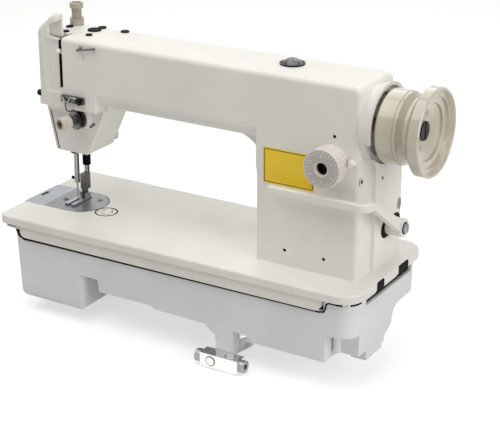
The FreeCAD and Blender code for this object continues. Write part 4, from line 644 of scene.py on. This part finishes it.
def make_set_screws():
    """Set screws in the tapped holes of the column and of the chin, and the caps on the right side. The
    black of the screws partly paints the shade in their holes, and the grey cap is painted shade of the
    hole that it fills.
    """
    small, depth, proud = 1.8, 1.6, 0.25
    chin_front = -30.7
    screws = {
        "column_screw_low_left": (small, (129.7, COLUMN_FRONT, 33), FRONT),
        "column_screw_low_right": (small, (178.1, COLUMN_FRONT, 32.6), FRONT),
        "column_screw_high": (small, (188.3, COLUMN_FRONT, 174), FRONT),
        "side_screw_high": (1.9, (STEP_RIGHT, 2.3, 119.2), RIGHT),
        "side_oil_cap": (2.9, (COLUMN_RIGHT + proud, *SIDE_OIL_HOLE[1:]), RIGHT),
        "chin_screw_left": (small, (-138.9, chin_front, 124.5), FRONT),
        "chin_screw_right": (small, (-135.1, chin_front, 127.5), FRONT),
    }
    for name, (radius, place, turn) in screws.items():
        # Black socket screws, their black partly painted shade in the holes.
        add_piece(name, socket_screw(radius, depth), RUBBER, "machine", place, turn)
    # A grey cap over a hole on the right side; its grey is painted shade of the hole.
    cap = prism(rounded_box(width=9, height=13.4, radius=4.4, steps=8), low=-0.2, high=0.35, edge=0.25)
    add_piece("side_hole_painted_shade", cap, PAINTED_HOLE_SHADE, "machine", (STEP_RIGHT, 45.9, 75.9), RIGHT)
    joint = ring(outer=4.4, inner=3.8, low=-0.2, high=0.2)
    add_piece("side_oil_joint", joint, INK, "machine", SIDE_OIL_HOLE, RIGHT)


def make_oil_hole_rim():
    """The white rim round the oil cap on the right side of the column."""
    rim = ring(outer=4.2, inner=2.45, low=-0.2, high=0.5, count=40)
    add_piece("side_oil_rim", rim, WHITE, "machine", SIDE_OIL_HOLE, RIGHT)


def make_lever_seal():
    """The dark oval seal behind the hub of the reverse lever."""
    middle = (STEP_RIGHT, 25.5, 57)
    width, height, lip_width = 46, 21, 0.8
    outline = rounded_box(width, height, radius=10.4, steps=10)
    opening = rounded_box(width - 2 * lip_width, height - 2 * lip_width, radius=9.6, steps=10)
    face = prism(outline, low=-0.4, high=0.2)
    add_piece("lever_seal_face", face, RUBBER, "machine", middle, RIGHT)
    lip = band(outline, opening, low=0.1, high=0.4)
    add_piece("lever_seal_lip", lip, RUBBER, "machine", middle, RIGHT)


def make_lever_screw_joint():
    """The dark joint round the screw in the hub of the reverse lever."""
    screw = node_box("reverse_lever_screw")
    hub_face = node_box("reverse_lever").high.x
    radius = (screw.high.z - screw.low.z) / 2
    joint = ring(outer=radius + 1.5, inner=radius - 0.3, low=-0.3, high=0.15)
    place = (hub_face, screw.middle.y, screw.middle.z)
    add_piece("lever_screw_joint", joint, RUBBER, "reverse", place, RIGHT)


def make_end_cushions():
    """Rubber cushions set into the right edge of the bed, over the gap above the pan."""
    level = 8.6
    for name, y, width in (("end_cushion_front", -27, 17), ("end_cushion_back", 29, 24)):
        cushion = prism(rounded_box(width, height=11.6, radius=2), low=-4, high=0.5, edge=0.4)
        add_piece(name, cushion, RUBBER, "machine", (BED_RIGHT, y, level), RIGHT)


def make_guard_edge():
    """A dark sheet on the guard's right wall, along the slot for the take-up lever, painted shade in the
    slot.
    """
    wall, front, back, bottom, top = -168.5, -45.9, -36.9, 171, 227
    painted_shade = prism([(front, bottom), (back, bottom), (back, top), (front, top)], low=0, high=0.2)
    add_piece("guard_slot_painted_shade", painted_shade, RUBBER, "machine", (wall, 0, 0), RIGHT)


def make_head_cove():
    """The hollow curve in which the front of the arm runs back to the chin."""
    front, back, low, top = -45.8, -29.9, 134, 147.1
    left, right = -198.6, -141.5
    depth, height = back - front, top - low
    outline = [(back, top)]
    for angle in quarter_turn(15):
        outline.append((front + depth * math.sin(angle), low + height * math.cos(angle)))
    add_piece("head_cove", prism(outline, left, right), WHITE, "machine", ORIGIN, RIGHT)


# Oil pan and knee lifter

def make_pan_gap():
    """Painted shadow in the gap between the bed and the top of the pan: a dark strip drawn as points with
    a width each.
    """
    left_end = [(-215.8, -0.2, 6), (-214.6, -3.5, 6), (-211.8, -9.5, 5.4), (-206, -12.8, 3.6)]
    along = [(-190, -12.6, 3), (0, -12.3, 2.4), (150, -12.2, 1.8), (192, -12.2, 1.8)]
    right_end = [(198.4, -10.6, 2), (200.2, -6, 2), (200.8, -2, 2), (203.6, 0.7, 2), (213, 0.7, 2)]
    thickness, radius = 0.25, 20
    gap = prism(stroke(left_end + along + right_end), low=0, high=thickness)
    add_piece("pan_gap_shadow_front", gap, RUBBER, "machine", (0, PAN_FRONT, 0), FRONT)
    path = corner_points(right_end[-1][0], PAN_FRONT + radius, radius, start=-90, steps=15)
    corner = ribbon(path, low=-0.3, high=1.7, thickness=thickness)
    add_piece("pan_gap_shadow_corner", corner, RUBBER, "machine", ORIGIN)


def make_pan_lip():
    """The left corners of the pan's lip, squarer than in its solid, and a dark strip over the lip that is
    painted shadow under the bed.
    """
    left, right, front, back, radius = -234, -212, -84.6, -62, 10
    low, high, shadow_low = 0.02, 3.98, 2.4
    corner = corner_points(left + radius, front + radius, radius, start=180, steps=10)
    path = [(left, back)] + corner + [(right, front)]
    for name, side in (("front", 1), ("back", -1)):
        outline = [(x, side * y) for x, y in path + [(right, back)]]
        add_piece(f"pan_lip_{name}", prism(outline, low, high), PAN, "machine", ORIGIN)
    # A dark strip under the bed's edge, painted shadow over the lip.
    joint = ribbon(path, shadow_low, high, thickness=0.3)
    add_piece("pan_lip_shadow", joint, RUBBER, "machine", ORIGIN)


def corner_cutter(side):
    """What is cut off one right corner of the pan's tub, from its top down, leaning with the wall."""
    right, radius = -121, 9
    spare, lean = 4, 0.0426
    low, high = -95, -42.2
    centre_x, centre_y = right - radius, PAN_FRONT + radius
    outside_x, outside_y = right + spare, PAN_FRONT - spare
    outline = corner_points(centre_x, centre_y, radius, start=-90, steps=15)
    outline += [(outside_x, centre_y), (outside_x, outside_y), (centre_x, outside_y)]
    cutter = prism([(x, -side * y) for x, y in outline], low, high)
    for vertex in cutter.verts:
        vertex.co.x += lean * (vertex.co.z - high)
    bmesh.ops.recalc_face_normals(cutter, faces=cutter.faces)
    bmesh.ops.scale(cutter, vec=(MM, MM, MM), verts=cutter.verts)
    mesh = bpy.data.meshes.new("corner_cutter")
    cutter.to_mesh(mesh)
    cutter.free()
    shape = bpy.data.objects.new("corner_cutter", mesh)
    show(shape)
    return shape


def shade_moulding(mesh):
    """Round the shading within the fillets alone, so that the large faces beside them stay flat."""
    flat_turn, largest_ratio = math.radians(0.5), 6
    shape = bmesh.new()
    shape.from_mesh(mesh)
    bmesh.ops.dissolve_limit(shape, angle_limit=flat_turn, verts=shape.verts, edges=shape.edges)
    for edge in shape.edges:
        areas = sorted(face.calc_area() for face in edge.link_faces)
        edge.smooth = edge.calc_face_angle(0) < SHARP_TURN and areas[-1] < largest_ratio * areas[0]
    for face in shape.faces:
        face.smooth = True
    shape.to_mesh(mesh)
    shape.free()


def make_pan_moulding():
    """The pan with the right corners of its tub rounded, in place of its plain solid."""
    joined = bmesh.new()
    joined.from_mesh(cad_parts["oil_pan"].data)
    bmesh.ops.remove_doubles(joined, verts=joined.verts, dist=0.01 * MM)
    plain = bpy.data.meshes.new("pan_plain")
    joined.to_mesh(plain)
    joined.free()
    piece = bpy.data.objects.new("pan_moulding", plain)
    show(piece)
    cutters = [corner_cutter(side) for side in (-1, 1)]
    for cutter in cutters:
        cut = piece.modifiers.new(cutter.name, "BOOLEAN")
        cut.operation = "DIFFERENCE"
        cut.solver = "EXACT"
        cut.object = cutter
    rounded = piece.evaluated_get(bpy.context.evaluated_depsgraph_get())
    mesh = bpy.data.meshes.new_from_object(rounded)
    piece.modifiers.clear()
    piece.data = mesh
    for cutter in cutters:
        bpy.data.objects.remove(cutter)
    shade_moulding(mesh)
    mesh.materials.clear()
    mesh.materials.append(PAN)
    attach(piece, "machine")
    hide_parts("oil_pan")


def make_knee_ring():
    """The dark joint round the end of the knee shaft in its block."""
    block = node_box("knee_block")
    from_left = 8
    place = (node_box("knee_shaft").low.x + from_left, block.low.y, block.middle.z)
    joint = ring(outer=6, inner=5.1, low=-0.3, high=0.2)
    add_piece("knee_shaft_joint", joint, BLACK, "knee", place, FRONT)


# Handwheel

def make_handwheel():
    """The handwheel with its drum, belt groove and stepped bowl, in place of its plain solid."""
    wheel = node_box("handwheel")
    left, right = wheel.low.x, wheel.high.x
    drum, groove, flange, bore = 40, 34, 48.2, 7.5
    hub = right - 15
    drum_side = [(left, bore), (left, drum - 2), (left + 2, drum), (left + 19.4, drum)]
    drum_ridge = [(left + 19.8, drum - 0.8), (left + 20.6, drum - 0.8), (left + 21, drum - 0.2),
                  (left + 23.4, drum - 0.8), (left + 24.4, drum - 2.4)]
    belt_groove = [(left + 29.5, groove), (left + 33, groove),
                   (left + 35.6, groove + 3.5), (left + 36.4, groove + 6.5)]
    flange_side = [(right - 13.7, flange - 4.6), (right - 12.9, flange - 1.4), (right - 11.5, flange)]
    flange_lip = [(right - 1.3, flange), (right, flange - 1.2),
                  (right, flange - 2.6), (right - 1.1, flange - 3.6)]
    drop, lean = 2.6, 0.7
    bowl = [(right - 5, flange - 4.8)]
    for level, radius in ((right - 4.6, flange - 9.6), (right - 7.8, flange - 17.2)):
        bowl += [(level, radius), (level - drop, radius - lean)]
    hub_side = [(hub + 3.6, 20.5), (hub + 0.6, 15.5), (hub, 14), (hub, bore)]
    turned = lathe(drum_side + drum_ridge + belt_groove + flange_side + flange_lip + bowl + hub_side)
    axis = (0, wheel.middle.y, wheel.middle.z)
    piece = add_piece("handwheel_turned", turned, BEIGE, "drive", axis, RIGHT)
    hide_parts("handwheel")


# Stitch dial

def make_dial_marks():
    """Ticks and plain numbers on the face of the stitch dial, and its dark centre. The face is a disc of
    darker dial plastic as painted shade, and the black screw in the centre is partly painted shade of the
    centre hole.
    """
    dial = node_box("stitch_dial")
    centre = Vector((dial.middle.x, dial.low.y, dial.middle.z))
    # A disc of darker dial plastic over the face, painted shade.
    disc = ring(outer=20.4, inner=8.3, low=-0.1, high=0.05, count=72)
    add_piece("dial_face_painted_shade", disc, DIAL_FACE_PAINTED_SHADE, "dial", centre, FRONT)
    ticks, numbers = 30, 6
    per_number = ticks // numbers
    end, half_width, long_tick, short_tick = 19.4, 0.3, 3.4, 2.2
    for step in range(ticks):
        start = end - (long_tick if step % per_number == 0 else short_tick)
        outline = [(start, -half_width), (end, -half_width), (end, half_width), (start, half_width)]
        spin = FRONT @ Matrix.Rotation(2 * math.pi * step / ticks, 3, "Z")
        tick = prism(outline, low=0.03, high=0.12)
        add_piece(f"dial_tick_{step}", tick, PALE_PRINT, "dial", centre, spin)
    for number in range(numbers):
        make_number(number, math.pi / 2 - 2 * math.pi * number / numbers, centre)
    # A black socket screw sunk in the centre hole, its black partly painted shade of the hole.
    sunk = Vector((0, 3.6, 0))
    screw = socket_screw(radius=6.9, depth=4)
    add_piece("dial_centre_screw", screw, RUBBER, "dial", centre + sunk, FRONT)


def make_number(number, angle, centre):
    """A printed number on the dial, with its foot towards the centre."""
    reach, proud = 14.6, 0.08
    letter = bpy.data.curves.new(f"dial_number_{number}", "FONT")
    letter.body = str(number)
    letter.size = 4.2 * MM
    letter.extrude = 0.04 * MM
    letter.align_x = "CENTER"
    letter.align_y = "CENTER"
    letter.materials.append(PALE_PRINT)
    piece = bpy.data.objects.new(f"dial_number_{number}", letter)
    across, up = polar(reach, angle)
    place = (centre + Vector((across, -proud, up))) * MM
    spin = FRONT @ Matrix.Rotation(angle - math.pi / 2, 3, "Z")
    piece.matrix_world = Matrix.Translation(place) @ spin.to_4x4()
    show(piece)
    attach(piece, "dial")


# Needle bar and presser regulator

def make_needle_bar_bush():
    """The sleeve with a dark flange under the head, in which the needle bar runs."""
    axis = node_box("needle_bar").middle
    place = (axis.x, axis.y, CHIN_LEVEL)
    bore = 3.35
    sleeve = ring(outer=4.8, inner=bore, low=-9, high=0.4)
    add_piece("needle_bar_sleeve", sleeve, STEEL_DARKENED_PAINTED_REFLECTION, "machine", place)
    flange = ring(outer=6.4, inner=bore, low=-9.6, high=-6.6)
    add_piece("needle_bar_flange", flange, BLACK, "machine", place)


def make_regulator_thread():
    """Thread on the neck of the presser regulator between its head and the lock nut."""
    regulator = node_box("presser_regulator")
    nut_top = node_box("regulator_lock_nut").high.z
    head_height, pitch, start = 6, 1.5, 0.4
    turns = int((regulator.high.z - head_height - nut_top) / pitch)
    for step in range(turns):
        crest = ring(outer=5.9, inner=5.3, low=0, high=pitch / 2)
        place = (regulator.middle.x, regulator.middle.y, nut_top + start + pitch * step)
        add_piece(f"regulator_thread_{step}", crest, WARM_GREY, "regulator", place)


# Thread guides and tension

POST_TURN = math.radians(13)
POST_WAY = Vector((-math.sin(POST_TURN), -math.cos(POST_TURN), 0))
UP = Vector((0, 0, 1))
ON_POST = Matrix((UP.cross(POST_WAY), UP, POST_WAY)).transposed()


def make_guide_wire():
    """The bent wire in front of the lower thread guide."""
    guide = node_box("lower_thread_guide")
    left, low, high = guide.low.x, guide.low.z, guide.high.z
    foot, front = guide.high.y - 1, guide.low.y - 1.4
    loop = front - 1.2
    left_leg = [(left + 3, foot, high - 2), (left + 3, front, high - 1)]
    dip = [(left + 6, loop, low + 1), (left + 11, loop, low), (left + 14, loop, high - 1)]
    right_leg = [(left + 20, front - 1, high), (left + 23, front, high - 2), (left + 24, foot, high - 3)]
    points = left_leg + dip + right_leg
    wire = bpy.data.curves.new("guide_wire", "CURVE")
    wire.dimensions = "3D"
    wire.bevel_depth = 0.75 * MM
    wire.bevel_resolution = 3
    wire.use_fill_caps = True
    line = wire.splines.new("NURBS")
    line.points.add(len(points) - 1)
    for point, place in zip(line.points, points):
        point.co = (*(Vector(place) * MM), 1.0)
    line.order_u = 3
    line.use_endpoint_u = True
    wire.materials.append(STEEL)
    piece = bpy.data.objects.new("guide_wire", wire)
    show(piece)
    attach(piece, "machine")


def make_disc_rings():
    """Bright rings on the tension discs, painted highlights of their rounded faces."""
    middle = node_box("tension_discs").middle
    width = 0.6
    for name, radius, reach in (("disc_highlight_outer", 9.6, 3.4), ("disc_highlight_inner", 7.2, 3.6)):
        rim = ring(outer=radius, inner=radius - width, low=0, high=0.4, count=64)
        add_piece(name, rim, STEEL, "machine", middle + POST_WAY * reach, ON_POST)


def make_thumb_nut():
    """The knurled thumb nut, in place of its plain solid, closed in front of the stud but for a hole."""
    half_length, past_stud, count = 4.5, 1.6, 72
    back = node_box("tension_nut").middle - POST_WAY * half_length
    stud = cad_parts["tension_post"].data.vertices
    stud_end = max(vertex.co.dot(POST_WAY) for vertex in stud) / MM
    length = stud_end - back.dot(POST_WAY) + past_stud
    teeth = ring_points(radius=7.9, count=count, dip=0.5)
    knurl = band(teeth, ring_points(radius=5.4, count=count), low=0.8, high=length)
    nut = add_piece("thumb_nut_knurl", knurl, CREAM, "tension_nut", back, ON_POST)
    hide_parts("tension_nut")
    collar = ring(outer=7.2, inner=3.1, low=0, high=1.2, count=count)
    add_piece("thumb_nut_collar", collar, CREAM, "tension_nut", back, ON_POST)
    core = ring(outer=5.45, inner=2.3, low=length - 1.3, high=length - 0.6)
    add_piece("thumb_nut_core", core, BROWN, "tension_nut", back, ON_POST)


def make_thumb_knobs():
    """The black heads of the thumb screws on the guard and on the lower thread guide."""
    count = 40
    guard = prism(ring_points(radius=3.8, count=count), low=0, high=5, edge=1.4)
    add_piece("guard_knob", guard, BLACK, "machine", (-202, -39, 158), LEFT)
    guide = prism(ring_points(radius=3.4, count=count), low=0, high=4.6, edge=1.2)
    add_piece("guide_knob", guide, BLACK, "machine", (-138, -49.9, 159.4), FRONT)


paint_nodes()
make_camera()
make_world()
make_floor()
make_plate()
make_seam()
make_cap_seal()
make_plate_seam()
make_set_screws()
make_lever_seal()
make_lever_screw_joint()
make_end_cushions()
make_pan_gap()
make_pan_lip()
make_guard_edge()
make_head_cove()
make_pan_moulding()
make_guide_wire()
make_oil_hole_rim()
make_knee_ring()
make_handwheel()
make_disc_rings()
make_needle_bar_bush()
make_regulator_thread()
make_dial_marks()
make_thumb_nut()
make_thumb_knobs()
area_light("key_softbox", place=(-0.1, -0.6, 1.7), width=1.7, power=17)
area_light("back_softbox", place=(-0.3, 1.1, 1.4), width=1.5, power=9)
area_light("right_softbox", place=(2.2, -0.4, 0.9), width=1.6, power=20)

bpy.context.scene.view_settings.view_transform = "Standard"
